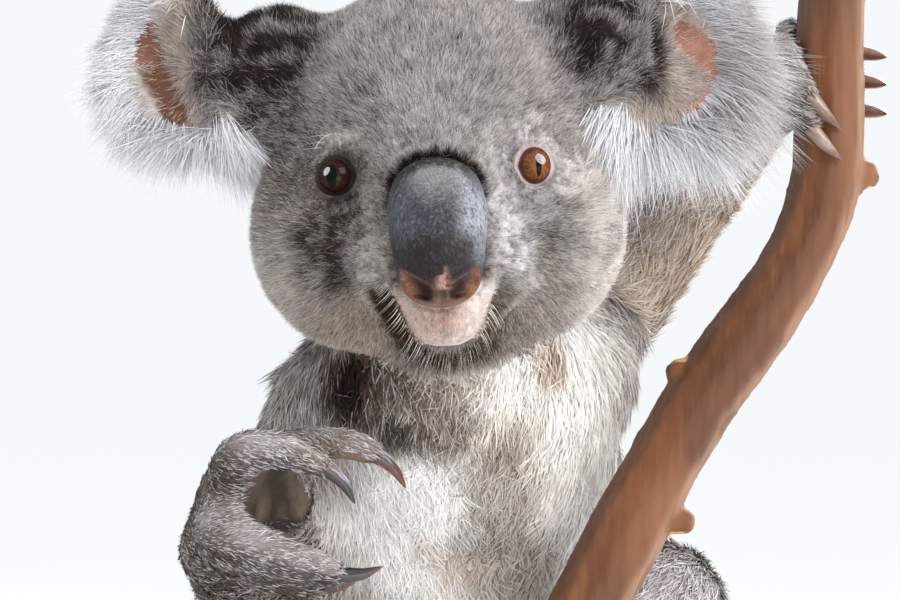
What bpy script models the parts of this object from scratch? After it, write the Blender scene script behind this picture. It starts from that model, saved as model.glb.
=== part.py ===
"""A koala that leans out from a cut branch on a display stand: life size, in metres, +Z up.

The koala faces -Y, and its own left side is +X. The origin is the middle of the stand's underside.
Each body part is modelled out to the tips of its coat. Soft masses are fused by a voxel remesh and
smoothed, then parted with thin cuts, so that every named part is one closed solid.
"""

import math

import bmesh
import bpy
from mathutils import Matrix, Vector

MM = 0.001
GAP = 0.3 * MM  # left between rigid pieces that touch
SOFT_GAP = 1.7 * MM  # left between masses of flesh, which are simplified after they are parted
CUT = 0.5 * MM  # thickness of a cut that parts one mass from the next
SIDES = (("left", 1), ("right", -1))
SPHERE_DETAIL = 3
CUTTER_DETAIL = 2  # a ball that only cuts a hollow is coarser
MERGE = 0.01 * MM
SLIVERS = (0.06 * MM, 0.02 * MM, 0.12 * MM, 0.2 * MM)

# The most triangles that each kind of piece keeps.
TRIANGLES = {
    "head": 790,
    "neck": 200,
    "chest": 330,
    "abdomen": 380,
    "jaw": 100,
    "nose": 200,
    "ear": 170,
    "ear_fringe": 140,
    "upper_arm": 210,
    "forearm": 160,
    "hand": 305,
    "thigh": 240,
    "shank": 160,
    "foot": 220,
}


def at(x, y, z):
    """A place or a size, given in millimetres."""
    return Vector((x, y, z)) * MM


# ---------------------------------------------------------------- driving dimensions

EYES_MIDDLE = at(-5.5, -130, 548)
HEAD_ROLL = math.radians(3)  # the koala's left eye is the higher one
HEAD = Matrix.Translation(EYES_MIDDLE) @ Matrix.Rotation(-HEAD_ROLL, 4, "Y")
EYE_SPREAD = 37 * MM
EYE_DEPTH = 9.5 * MM
EYE_RADIUS = 8.5 * MM

# Joints of the skeleton, from the body out.
JOINTS = {
    "arm_left": [at(52, 16, 482), at(110, 66, 552), at(134, -8, 583)],
    "arm_right": [at(-46, 2, 458), at(-84, -10, 380), at(-86, -116, 406)],
    "leg_left": [at(50, 82, 274), at(91, 18, 366), at(44, -32, 292)],
    "leg_right": [at(-54, 82, 270), at(-98, -4, 310), at(-56, -44, 236)],
}
UPPER_ARM_RADII = (36, 28)
FOREARM_RADII = (27, 18)
THIGH_RADII = (54, 37)
SHANK_RADII = (33, 20)

BRANCH_RADIUS = 14 * MM
BRANCH_SIDES = 8
BRANCH_LINE = [
    at(-60, -14, 92),
    at(-46, -30, 160),
    at(-24, -44, 215),
    at(3, -50, 270),
    at(30, -53, 326),
    at(57, -52, 380),
    at(76, -51, 415),
    at(100, -49, 458),
    at(124, -46, 490),
    at(143, -43, 520),
    at(154, -41, 553),
    at(155, -40, 600),
    at(159, -38, 668),
]

BASE_SIZE = at(340, 320, 18)
ROD_RADIUS = 7 * MM
COLOURS = {
    "coat": (0.36, 0.33, 0.31, 0.95),
    "pale_coat": (0.80, 0.76, 0.70, 0.95),
    "bare_skin": (0.10, 0.11, 0.12, 0.55),
    "eye": (0.22, 0.09, 0.03, 0.12),
    "claw": (0.10, 0.09, 0.09, 0.35),
    "wood": (0.42, 0.20, 0.09, 0.65),
    "stand": (0.70, 0.70, 0.68, 0.45),
}


# ---------------------------------------------------------------- modelling tools


def material(name):
    """The Principled material of that name, from COLOURS, where the last number is its roughness."""
    if name in bpy.data.materials:
        return bpy.data.materials[name]
    made = bpy.data.materials.new(name)
    made.use_nodes = True
    shader = made.node_tree.nodes["Principled BSDF"]
    *rgb, roughness = COLOURS[name]
    shader.inputs["Base Color"].default_value = (*rgb, 1)
    shader.inputs["Roughness"].default_value = roughness
    shader.inputs["Metallic"].default_value = 0
    return made


def new_object(name, mesh):
    made = bpy.data.objects.new(name, mesh)
    KOALA.objects.link(made)
    return made


def from_bmesh(name, bm):
    mesh = bpy.data.meshes.new(name)
    bm.to_mesh(mesh)
    bm.free()
    return new_object(name, mesh)


def discard(obj):
    bpy.data.objects.remove(obj)


def settle(obj):
    """Applies the object's modifiers, by taking the mesh that they make."""
    graph = bpy.context.evaluated_depsgraph_get()
    mesh = bpy.data.meshes.new_from_object(obj.evaluated_get(graph))
    obj.modifiers.clear()
    obj.data = mesh
    return obj


def ball(bm, centre, radii, turn=None, detail=SPHERE_DETAIL):
    """An ellipsoid of these half axes, turned about its own centre."""
    matrix = Matrix.Translation(centre) @ (turn or Matrix.Identity(4))
    matrix = matrix @ Matrix.Diagonal((*radii, 1))
    bmesh.ops.create_icosphere(bm, subdivisions=detail, radius=1, matrix=matrix)


def head_ball(bm, centre, radii, detail=SPHERE_DETAIL):
    """An ellipsoid placed from the middle of the eyes, in the head's own tilt."""
    ball(bm, HEAD @ at(*centre), at(*radii), HEAD.to_3x3().to_4x4(), detail)


def smooth_line(points, per_span):
    """Points along a Catmull-Rom curve through these points."""
    ends = [2 * points[0] - points[1], *points, 2 * points[-1] - points[-2]]
    line = []
    for a, b, c, d in zip(ends, ends[1:], ends[2:], ends[3:]):
        for step in range(per_span):
            t = step / per_span
            line.append(
                0.5
                * (2 * b + (c - a) * t + (2 * a - 5 * b + 4 * c - d) * t**2 + (3 * b - a - 3 * c + d) * t**3)
            )
    return [*line, points[-1]]


def strand(bm, points, radii, per_span=6):
    """Balls in a row along a smooth curve, their radii running evenly through the given ones."""
    line = smooth_line(points, per_span)
    for index, place in enumerate(line):
        along = index / (len(line) - 1) * (len(radii) - 1)
        low = min(int(along), len(radii) - 2)
        radius = radii[low] + (radii[low + 1] - radii[low]) * (along - low)
        ball(bm, place, (radius, radius, radius))


def fused(name, bm, voxel, smoothing):
    """One closed skin over everything in bm, its creases rounded off."""
    obj = from_bmesh(name, bm)
    remesh = obj.modifiers.new("fuse", "REMESH")
    remesh.mode = "VOXEL"
    remesh.voxel_size = voxel
    smooth = obj.modifiers.new("round", "SMOOTH")
    smooth.factor = 0.5
    smooth.iterations = smoothing
    return settle(obj)


def is_closed(mesh):
    """Whether two faces meet at every edge and every vertex has one fan of faces."""
    bm = bmesh.new()
    bm.from_mesh(mesh)
    closed = all(edge.is_manifold for edge in bm.edges) and all(vert.is_manifold for vert in bm.verts)
    bm.free()
    return closed


def welded(mesh, sliver):
    """A copy without the slivers, no wider than this, that cuts leave. Where they meet it is patched."""
    bm = bmesh.new()
    bm.from_mesh(mesh)
    bmesh.ops.remove_doubles(bm, verts=bm.verts, dist=sliver)
    bmesh.ops.dissolve_degenerate(bm, edges=bm.edges, dist=sliver)
    pinched = [v for v in bm.verts if not v.is_manifold or any(not e.is_manifold for e in v.link_edges)]
    bmesh.ops.delete(bm, geom=pinched, context="VERTS")
    bmesh.ops.holes_fill(bm, edges=[e for e in bm.edges if e.is_boundary], sides=0)
    bmesh.ops.triangulate(bm, faces=bm.faces)
    copy = mesh.copy()
    bm.to_mesh(copy)
    bm.free()
    return copy


def thin_out(obj, triangles):
    """Reduces the mesh to about this many triangles, or to more where so few would open it."""
    whole = obj.data
    for share in (1, 1.2, 1.5, 2.5):
        for sliver in SLIVERS:
            obj.data = welded(whole, sliver)
            obj.data.calc_loop_triangles()
            decimate = obj.modifiers.new("thin out", "DECIMATE")
            decimate.ratio = min(1, share * triangles / len(obj.data.loop_triangles))
            decimate.use_collapse_triangulate = True
            settle(obj)
            if is_closed(obj.data):
                return obj
    obj.data = whole
    return obj


def boolean(obj, other, operation):
    modifier = obj.modifiers.new(operation.lower(), "BOOLEAN")
    modifier.operation = operation
    modifier.solver = "MANIFOLD"  # it keeps closed meshes closed, also where a grown copy folds over itself
    modifier.object = other
    return settle(obj)


def grown(obj, by):
    """A copy whose surface stands this much further out."""
    copy = new_object(obj.name + "_grown", obj.data.copy())
    displace = copy.modifiers.new("grow", "DISPLACE")
    displace.strength = by
    displace.mid_level = 0
    return settle(copy)


def near(one, other):
    """Whether the boxes round the two objects come within 1 mm of each other."""
    boxes = [[Vector(corner) for corner in obj.bound_box] for obj in (one, other)]
    return all(
        min(c[axis] for c in a) < max(c[axis] for c in b) + MM
        for a, b in (boxes, boxes[::-1])
        for axis in range(3)
    )


def make_room(obj, *others, gap=SOFT_GAP):
    """Cuts obj back from pieces that it meets, and keeps its largest body."""
    for other in others:
        if not near(obj, other):
            continue
        cutter = grown(other, gap)
        boolean(obj, cutter, "DIFFERENCE")
        discard(cutter)
    bodies = loose_bodies(obj)
    bodies.sort(key=lambda body: body.calc_volume())
    bodies.pop().to_mesh(obj.data)
    return obj


def loose_bodies(obj):
    """The separate closed shells of an object, as a list of bmeshes."""
    whole = bmesh.new()
    whole.from_mesh(obj.data)
    whole.faces.ensure_lookup_table()
    seen, bodies = set(), []
    for face in whole.faces:
        if face.index in seen:
            continue
        group, front = {face.index}, [face]
        while front:
            for edge in front.pop().edges:
                for neighbour in edge.link_faces:
                    if neighbour.index not in group:
                        group.add(neighbour.index)
                        front.append(neighbour)
        seen |= group
        body = whole.copy()
        strays = [f for f in body.faces if f.index not in group]
        bmesh.ops.delete(body, geom=strays, context="FACES")
        bodies.append(body)
    whole.free()
    return bodies


def part_at(obj, cuts, names):
    """Parts obj with thin square slabs, each (place, direction, width), and names the bodies.

    names holds (name, a place near the middle of that body)."""
    for place, direction, width in cuts:
        bm = bmesh.new()
        turn = direction.to_track_quat("Z", "Y").to_matrix().to_4x4()
        size = Matrix.Diagonal((width, width, CUT, 1))
        bmesh.ops.create_cube(bm, size=1, matrix=Matrix.Translation(place) @ turn @ size)
        slab = from_bmesh("slab", bm)
        boolean(obj, slab, "DIFFERENCE")
        discard(slab)
    bodies = sorted(loose_bodies(obj), key=lambda body: -body.calc_volume())[: len(names)]
    parts = []
    for name, middle in names:
        body = min(bodies, key=lambda b: (centre_of(b) - middle).length)
        bodies.remove(body)
        parts.append(from_bmesh(name, body))
    discard(obj)
    return parts


def centre_of(bm):
    return sum((v.co for v in bm.verts), Vector()) / len(bm.verts)


def tube(name, points, radii, sides):
    """A closed tube along points, with a radius at each one. sides is 4, 6, 8 and so on."""
    curve = bpy.data.curves.new(name, "CURVE")
    curve.dimensions = "3D"
    curve.bevel_depth = 1
    curve.bevel_resolution = (sides - 4) // 2
    curve.use_fill_caps = True
    spline = curve.splines.new("POLY")
    spline.points.add(len(points) - 1)
    for knot, place, radius in zip(spline.points, points, radii):
        knot.co = (*place, 1)
        knot.radius = radius
    guide = bpy.data.objects.new(name + "_guide", curve)
    KOALA.objects.link(guide)
    graph = bpy.context.evaluated_depsgraph_get()
    mesh = bpy.data.meshes.new_from_object(guide.evaluated_get(graph))
    discard(guide)
    bm = bmesh.new()
    bm.from_mesh(mesh)
    bmesh.ops.remove_doubles(bm, verts=bm.verts, dist=MERGE)
    bmesh.ops.recalc_face_normals(bm, faces=bm.faces)
    return from_bmesh(name, bm)


def slimmed(obj):
    """The object with the triangles that its kind of piece keeps."""
    return thin_out(obj, TRIANGLES[obj.name.removesuffix("_left").removesuffix("_right")])


def finish(obj, colour):
    obj.data.materials.clear()
    obj.data.materials.append(material(colour))
    obj.data.shade_smooth()
    obj.data.set_sharp_from_angle(angle=math.radians(40))
    return obj


# ---------------------------------------------------------------- head, neck and trunk


def add_head(bm):
    head_ball(bm, (0, 47, 22), (64, 50, 58))  # cranium
    head_ball(bm, (0, 26, 26), (52, 36, 47))  # brow
    head_ball(bm, (0, 4, -8), (25, 24, 30))  # bridge of the nose
    head_ball(bm, (0, 2, -34), (32, 32, 25))  # muzzle
    head_ball(bm, (0, -21, -50), (18, 15, 12.5))  # upper lip
    for _, side in SIDES:
        head_ball(bm, (33 * side, 38, -20), (44, 42, 50))  # cheek
        head_ball(bm, (17 * side, 0, -38), (20, 26, 20))  # whisker pad
        head_ball(bm, (58 * side, 50, 43), (33, 28, 32))  # ear root


def add_trunk(bm):
    """Ellipsoids that run smoothly through these stations, from the throat to the rump."""
    stations = (
        ((-2, -58, 496), (50, 44, 48)),  # neck
        ((4, -16, 460), (70, 54, 62)),  # shoulders
        ((4, 26, 424), (79, 68, 68)),  # chest
        ((1, 54, 374), (84, 76, 68)),  # waist
        ((-1, 68, 322), (92, 84, 70)),  # belly
        ((-3, 80, 280), (99, 80, 72)),  # rump
        ((-4, 88, 252), (80, 64, 58)),  # seat
    )
    centres = smooth_line([at(*centre) for centre, _ in stations], 3)
    sizes = smooth_line([at(*radii) for _, radii in stations], 3)
    for centre, radii in zip(centres, sizes):
        ball(bm, centre, radii)
    ball(bm, at(50, 8, 468), at(38, 42, 42))  # left shoulder
    ball(bm, at(-42, 4, 454), at(38, 42, 44))  # right shoulder
    for _, side in SIDES:
        ball(bm, at(48 * side - 4, 84, 270), at(50, 56, 56))  # hip


def make_core():
    """Head, neck, chest and abdomen, parted across the neck and round the waist."""
    bm = bmesh.new()
    add_head(bm)
    add_trunk(bm)
    core = fused("core", bm, voxel=2.8 * MM, smoothing=12)
    nape = Vector((0, 0.62, -0.78))
    cuts = [
        (HEAD @ at(0, 78, -44), nape, 200 * MM),
        (HEAD @ at(0, 104, -80), nape, 230 * MM),
        (at(0, 40, 384), Vector((0, 0.2, -1)), 260 * MM),
    ]
    names = [
        ("head", HEAD @ at(0, 20, -5)),
        ("neck", at(-4, -45, 490)),
        ("chest", at(4, 20, 435)),
        ("abdomen", at(0, 60, 300)),
    ]
    return part_at(core, cuts, names)


# ---------------------------------------------------------------- eyes, nose, jaw and ears


def make_eye(name, side):
    bm = bmesh.new()
    centre = HEAD @ Vector((EYE_SPREAD * side, EYE_DEPTH, 0))
    bmesh.ops.create_icosphere(
        bm, subdivisions=2, radius=EYE_RADIUS, matrix=Matrix.Translation(centre)
    )
    return from_bmesh(name, bm)


def open_socket(head, side):
    """Lays the eye's front bare between the lids."""
    bm = bmesh.new()
    head_ball(bm, (38.2 * side, -1.5, 0), (7.6, 7.5, 8.2), CUTTER_DETAIL)
    opening = from_bmesh("opening", bm)
    boolean(head, opening, "DIFFERENCE")
    discard(opening)


def make_nose(head):
    """The bare pad of the nose, tall and smooth, set in the head, with a nostril low on each side."""
    stations = (
        ((0, -13, -9.5), (16.4, 11, 13)),  # upper end, between the eyes
        ((0, -20, -17), (17.8, 13, 14)),
        ((0, -28, -29), (16.4, 14, 13)),
        ((0, -34, -40), (14.2, 12, 10.5)),  # lower end
    )
    bm = bmesh.new()
    centres = smooth_line([Vector(centre) for centre, _ in stations], 4)
    sizes = smooth_line([Vector(radii) for _, radii in stations], 4)
    for centre, radii in zip(centres, sizes):
        head_ball(bm, centre, radii)
    nose = slimmed(fused("nose", bm, voxel=1.3 * MM, smoothing=4))
    make_room(head, nose, gap=GAP)
    bm = bmesh.new()
    for _, side in SIDES:
        head_ball(bm, (8.6 * side, -47, -44), (4.8, 6, 4.4), CUTTER_DETAIL)
    nostrils = from_bmesh("nostrils", bm)
    boolean(nose, nostrils, "DIFFERENCE")
    discard(nostrils)
    return nose


def make_jaw(head, nose):
    """The chin, which shows as a crescent below and behind the upper lip. The head is cut back from it."""
    bm = bmesh.new()
    head_ball(bm, (0, -3, -55), (23, 31, 13.5))
    jaw = from_bmesh("jaw", bm)
    bm = bmesh.new()
    head_ball(bm, (0, -25, -47), (19.5, 21, 15))
    above_mouth = from_bmesh("above_mouth", bm)
    boolean(jaw, above_mouth, "DIFFERENCE")
    discard(above_mouth)
    make_room(slimmed(jaw), nose)
    make_room(head, jaw, gap=GAP)
    return jaw


def ear_turn(side):
    """The ear's own axes: x across it, y into its cup, z up it, turned out and a little back."""
    turn = Matrix.Rotation(math.radians(22) * side, 4, "Z") @ Matrix.Rotation(math.radians(14) * side, 4, "Y")
    return HEAD.to_3x3().to_4x4() @ turn


def ear_place(side):
    """The left ear is held a little lower and closer than the right one."""
    seat = at(95, 42, 43) if side > 0 else at(-99, 44, 50)
    return Matrix.Translation(HEAD @ seat) @ ear_turn(side)


def make_ear(name, side):
    """A rounded cup that opens forwards, on a short root."""
    place = ear_place(side)
    bm = bmesh.new()
    ball(bm, place.translation, at(27, 10, 32), ear_turn(side))
    ball(bm, place @ at(-20 * side, 5, -17), at(20, 12, 25), ear_turn(side))
    ear = fused(name, bm, voxel=2.2 * MM, smoothing=4)
    bm = bmesh.new()
    ball(bm, place @ at(2 * side, -13, 1), at(20, 15, 25), ear_turn(side), CUTTER_DETAIL)
    cup = from_bmesh("cup", bm)
    boolean(ear, cup, "DIFFERENCE")
    discard(cup)
    return ear


def make_fringe(name, side):
    """Long locks round the ear's outer rim, longest where they hang below it, and shorter on the right ear."""
    place = ear_place(side)
    reach = 1 if side > 0 else 0.7
    bm = bmesh.new()
    locks = 11
    for index in range(locks):
        share = index / (locks - 1)
        angle = math.radians(112 - 240 * share)  # from over the top, out and down to below
        rim = Vector((math.cos(angle) * 24 * side, 1, math.sin(angle) * 28))
        length = reach * (12 + 20 * math.sin(share * math.pi * 0.62) ** 2 + 4 * (index % 2))
        out = Vector((math.cos(angle) * side, 0.05, math.sin(angle) - 0.35)).normalized()
        points = [rim, rim + out * length * 0.6, rim + out * length + Vector((0, 0, -3))]
        strand(bm, [place @ (p * MM) for p in points], (10 * MM, 8 * MM, 3.4 * MM), per_span=4)
    return slimmed(fused(name, bm, voxel=2.4 * MM, smoothing=3))


# ---------------------------------------------------------------- branch and grip


def branch_at(height):
    """(middle of the branch, its direction) at that height."""
    line = smooth_line(BRANCH_LINE, 8)
    for low, high in zip(line, line[1:]):
        if low.z <= height <= high.z:
            share = (height - low.z) / (high.z - low.z)
            return low.lerp(high, share), (high - low).normalized()
    raise ValueError("the branch doesn't reach that height")


def round_branch(height, bearing, away):
    """A place beside the branch. bearing runs from +X, 90 is behind and -90 in front; away is from its bark."""
    middle, along = branch_at(height)
    right = Vector((1, 0, 0))
    right = (right - along * right.dot(along)).normalized()
    back = along.cross(right)
    turn = math.radians(bearing)
    return middle + (right * math.cos(turn) + back * math.sin(turn)) * (BRANCH_RADIUS + away)


def wrap(height, drop, start, end, away, steps=5):
    """Places along the bark from one bearing to another, coming down by drop on the way."""
    return [
        round_branch(
            height - drop * step / (steps - 1), start + (end - start) * step / (steps - 1), away
        )
        for step in range(steps)
    ]


def make_branch():
    """A smooth limb with a few knots, sawn off square at both ends."""
    line = smooth_line(BRANCH_LINE, 2)
    radii = [
        BRANCH_RADIUS * (1.16 - 0.18 * index / len(line) + 0.03 * math.sin(index * 1.3))
        for index in range(len(line))
    ]
    branch = tube("branch", line, radii, BRANCH_SIDES)
    knots = (
        (549, 6, 8, 6),  # height, bearing, radius and how far it stands out
        (459, 190, 7, 4),
        (415, -6, 7, 8),
        (186, -60, 8, 4),
    )
    for height, bearing, radius, out in knots:
        middle, _ = branch_at(height * MM)
        tip = round_branch((height + 5) * MM, bearing, out * MM)
        bm = bmesh.new()
        reach = tip - middle
        turn = reach.to_track_quat("Z", "Y").to_matrix().to_4x4()
        bmesh.ops.create_cone(
            bm,
            cap_ends=True,
            segments=8,
            radius1=radius * MM * 1.3,
            radius2=radius * MM * 0.6,
            depth=reach.length,
            matrix=Matrix.Translation(middle.lerp(tip, 0.5)) @ turn,
        )
        knot = from_bmesh("knot", bm)
        boolean(branch, knot, "UNION")
        discard(knot)
    return branch


# ---------------------------------------------------------------- limbs and claws

# Each digit is its path, and its radii at the root and the tip in millimetres.


def grip_digits(height, drop, spread, start, end, count, radii):
    """Digits side by side that reach round the branch from one bearing to another."""
    middle = (count - 1) / 2
    return [
        (wrap(height - (index - middle) * spread, drop, start, end, radii[1] * 0.7 * MM), radii)
        for index in range(count)
    ]


def left_hand():
    """Three fingers reach round behind the branch and two thumbs come down over the front of it."""
    fingers = grip_digits(597 * MM, 6 * MM, 12.5 * MM, 150, 42, 3, (8.5, 6.2))
    thumbs = grip_digits(593 * MM, 18 * MM, 13 * MM, 196, 238, 2, (8.5, 6.2))
    return fingers + thumbs


def right_hand():
    """The free hand, half closed: three fingers arch over and two thumbs come up from below."""
    palm = at(-82, -134, 424)
    fingers = [
        ([palm, at(-77, -158, 442), at(-66, -164, 447), at(-55, -165, 445), at(-46, -164, 441)], (12, 7.2)),
        ([palm, at(-70, -143, 441), at(-54, -142, 447), at(-38, -141, 447.5), at(-29, -140, 444)], (10.5, 7.2)),
        ([palm, at(-72, -128, 434), at(-62, -126, 434), at(-57, -128, 427), at(-59, -130, 420)], (11, 8.6)),
    ]
    thumbs = [
        ([palm, at(-82, -154, 415), at(-68, -162, 411.5), at(-53, -164, 407), at(-42, -164, 403.5)], (14, 7.4)),
        ([palm, at(-82, -140, 408), at(-68, -146, 401), at(-56, -148, 398), at(-48, -149, 397)], (11, 7)),
    ]
    return fingers + thumbs


def left_foot():
    toes = grip_digits(290 * MM, 4 * MM, 12 * MM, -8, -104, 3, (8.5, 6.5))
    hallux = grip_digits(282 * MM, 4 * MM, 0, 62, 128, 1, (9.5, 7.5))
    return toes + hallux


def right_foot():
    toes = grip_digits(236 * MM, 2 * MM, 12 * MM, 192, 290, 3, (8.5, 6.5))
    hallux = grip_digits(226 * MM, 4 * MM, 0, 118, 56, 1, (9.5, 7.5))
    return toes + hallux


def claw_points(path, curl, length):
    """A claw that runs on from the end of a digit and curls by that many radians towards curl."""
    ahead = (path[-1] - path[-2]).normalized()
    across = ahead.cross(curl).normalized()
    place, points = path[-1] - ahead * 3 * MM, []
    bends = len(CLAW_RADII) - 1
    for step in range(bends + 1):
        points.append(place.copy())
        turn = Matrix.Rotation(1.08 / bends, 3, across)
        place += ahead * (length + 3 * MM) / bends
        ahead = turn @ ahead
    return points


CLAW_LENGTH = {"hand": 19 * MM, "foot": 18 * MM}
CLAW_RADII = (3.7, 3.5, 2.5, 0.4)


def make_claws(limb, digits, curls):
    """The claws of the digits that carry one."""
    kind = limb.split("_")[0]
    claws = []
    for number, ((path, _), curl) in enumerate(zip(digits, curls), 1):
        if curl is None:
            continue
        points = claw_points(path, curl, CLAW_LENGTH[kind])
        claws.append(tube(f"claw_{limb}_{number}", points, [r * MM for r in CLAW_RADII], 6))
    return claws


def towards_branch(path):
    middle, _ = branch_at(path[-1].z)
    return (middle - path[-1]).normalized()


def limb_mass(name, points, radii):
    bm = bmesh.new()
    strand(bm, points, [r * MM for r in radii], per_span=10)
    return slimmed(fused(name, bm, voxel=2.4 * MM, smoothing=4))


def make_limb(kind, side_name, upper, lower, digits, palm, curls, trunk, branch):
    """A limb in three masses. Each one ends where the next begins, in a cut that follows its form."""
    root, elbow, wrist = JOINTS[f"{kind}_{side_name}"]
    names = {"arm": ("upper_arm", "forearm", "hand"), "leg": ("thigh", "shank", "foot")}[kind]
    end = f"{names[2]}_{side_name}"
    bm = bmesh.new()
    ball(bm, wrist, Vector((1, 1, 1)) * lower[1] * MM)
    for centre, radii in palm:
        strand(bm, [wrist, centre], [lower[1] * MM, min(radii) * MM])
        ball(bm, centre, at(*radii))
    for path, radii in digits:
        strand(bm, path, [r * MM for r in radii], per_span=5)
    hand = slimmed(fused(end, bm, voxel=1.9 * MM, smoothing=5))
    forearm = limb_mass(f"{names[1]}_{side_name}", [elbow, wrist], lower)
    upper_part = limb_mass(f"{names[0]}_{side_name}", [root, elbow], upper)
    make_room(hand, *trunk, branch)
    make_room(forearm, hand, *trunk, branch)
    make_room(upper_part, forearm, hand, *trunk, branch)
    claws = [make_room(claw, branch, gap=GAP) for claw in make_claws(end, digits, curls)]
    make_room(slimmed(hand), *claws, gap=GAP)
    return [slimmed(upper_part), slimmed(forearm), hand], claws


# ---------------------------------------------------------------- stand


def make_base():
    bm = bmesh.new()
    size = Matrix.Diagonal((*BASE_SIZE, 1))
    bmesh.ops.create_cube(bm, size=1, matrix=Matrix.Translation((0, 0, BASE_SIZE.z / 2)) @ size)
    upright = [e for e in bm.edges if abs(e.verts[0].co.z - e.verts[1].co.z) > MM]
    bmesh.ops.bevel(bm, geom=upright, offset=22 * MM, segments=5, affect="EDGES", profile=0.5)
    rim = [
        e
        for e in bm.edges
        if min(v.co.z for v in e.verts) > BASE_SIZE.z - MM and len({f.normal.z > 0.9 for f in e.link_faces}) == 2
    ]
    bmesh.ops.bevel(bm, geom=rim, offset=2 * MM, segments=2, affect="EDGES", profile=0.5)
    return from_bmesh("stand_base", bm)


def make_rod(name, height, branch):
    """An upright rod from the base into the underside of the branch at that height."""
    foot, _ = branch_at(height)
    bottom = BASE_SIZE.z + GAP
    bm = bmesh.new()
    bmesh.ops.create_cone(
        bm,
        cap_ends=True,
        segments=16,
        radius1=ROD_RADIUS,
        radius2=ROD_RADIUS,
        depth=height - bottom,
        matrix=Matrix.Translation((foot.x, foot.y, (height + bottom) / 2)),
    )
    return make_room(from_bmesh(name, bm), branch, gap=GAP)


# ---------------------------------------------------------------- the whole model


def build():
    head, neck, chest, abdomen = make_core()
    slimmed(head)
    nose = make_nose(head)
    eyes = []
    for name, side in SIDES:
        open_socket(head, side)
        eye = make_eye(f"eye_{name}", side)
        make_room(head, eye, gap=GAP)
        eyes.append(eye)
    jaw = make_jaw(head, nose)
    ears, fringes = [], []
    for name, side in SIDES:
        ear = slimmed(make_room(make_ear(f"ear_{name}", side), head))
        fringe = make_room(make_fringe(f"ear_fringe_{name}", side), ear, head, gap=GAP)
        ears.append(ear)
        fringes.append(fringe)

    branch = make_branch()
    trunk = [slimmed(piece) for piece in (neck, chest, abdomen)]
    down = Vector((0.1, 0, -1))
    limbs = {
        "hand_left": ("arm", left_hand(), [(round_branch(586 * MM, 160, 8 * MM), (17, 16, 20))]),
        "hand_right": ("arm", right_hand(), [(at(-83, -134, 423), (13, 19, 20))]),
        "foot_left": ("leg", left_foot(), [(round_branch(288 * MM, 22, 12 * MM), (17, 18, 20))]),
        "foot_right": ("leg", right_foot(), [(round_branch(232 * MM, 160, 12 * MM), (17, 18, 20))]),
    }
    radii = {"arm": (UPPER_ARM_RADII, FOREARM_RADII), "leg": (THIGH_RADII, SHANK_RADII)}
    flesh, claws = [], []
    for end, (kind, digits, palm) in limbs.items():
        side_name = end.split("_")[1]
        if end == "hand_right":
            curls = [down, down, None, Vector((0, 0, 1)), Vector((0, 0, 1))]
        else:
            curls = [towards_branch(path) for path, _ in digits]
        if kind == "leg":
            curls[-1] = None  # the big toe has no claw
        parts, nails = make_limb(kind, side_name, *radii[kind], digits, palm, curls, trunk, branch)
        flesh += parts
        claws += nails

    stand = [
        make_base(),
        make_rod("stand_rod_front", 188 * MM, branch),
        make_rod("stand_rod_rear", 104 * MM, branch),
    ]
    dress = {
        "coat": [head, neck, chest, abdomen, jaw, *ears, *flesh],
        "pale_coat": fringes,
        "bare_skin": [nose],
        "eye": eyes,
        "claw": claws,
        "wood": [branch],
        "stand": stand,
    }
    for colour, pieces in dress.items():
        for piece in pieces:
            finish(piece, colour)


for old in list(bpy.data.objects):
    bpy.data.objects.remove(old)
KOALA = bpy.data.collections.new("koala")
bpy.context.scene.collection.children.link(KOALA)
build()
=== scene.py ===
"""How the koala on its cut branch looks: skin, coat, face, claws, bark and stand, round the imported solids.

Lengths are in metres unless a name ends in mm. Places on the head are in millimetres from the middle of the
eyes: x to the koala's left, y backwards and z up, tilted as the head is.
"""

import itertools
import math

import bmesh
import bpy
import numpy as np
from mathutils import Matrix, Vector
from mathutils.bvhtree import BVHTree


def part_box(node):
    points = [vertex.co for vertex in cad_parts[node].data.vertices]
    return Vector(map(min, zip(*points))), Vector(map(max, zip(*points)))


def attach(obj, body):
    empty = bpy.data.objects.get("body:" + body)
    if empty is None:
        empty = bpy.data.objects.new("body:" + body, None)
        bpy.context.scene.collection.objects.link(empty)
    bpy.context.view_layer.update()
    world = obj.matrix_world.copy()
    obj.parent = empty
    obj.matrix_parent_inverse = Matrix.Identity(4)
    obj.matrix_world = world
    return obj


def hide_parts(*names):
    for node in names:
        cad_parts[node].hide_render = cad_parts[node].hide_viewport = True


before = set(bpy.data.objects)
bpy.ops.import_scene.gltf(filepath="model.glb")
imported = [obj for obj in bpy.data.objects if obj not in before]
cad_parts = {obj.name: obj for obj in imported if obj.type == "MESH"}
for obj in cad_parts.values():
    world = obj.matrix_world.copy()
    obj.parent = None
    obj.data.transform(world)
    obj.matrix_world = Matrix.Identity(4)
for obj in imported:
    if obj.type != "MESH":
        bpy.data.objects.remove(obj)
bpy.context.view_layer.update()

MM = 0.001
SIDES = (("left", 1), ("right", -1))
FACE = ["head", "jaw"]
TRUNK = ["neck", "chest", "abdomen"]
FLESH = [*FACE, *TRUNK] + [
    f"{part}_{side}"
    for part in ("ear", "upper_arm", "forearm", "hand", "thigh", "shank", "foot")
    for side, _ in SIDES
]
PAWS = ["hand_left", "hand_right", "foot_left", "foot_right"]
COUNT_SHARE, WIDER = ((1, 1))
PALE_STEP = 0.5  # share of white in a frosted tip
ROOT_DEPTH = 0.4  # how many mm below the skin the tufts start
PATCH = 0.003  # side of each tuft's patch on the OFBake map
SKIN_VOXEL = 2.0 * MM
SHOWN_SHARE = 0.5  # of the skin's triangles
SEAM = 1.1 * MM  # the solids are grown this much, so that the thin cuts between them close

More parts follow.
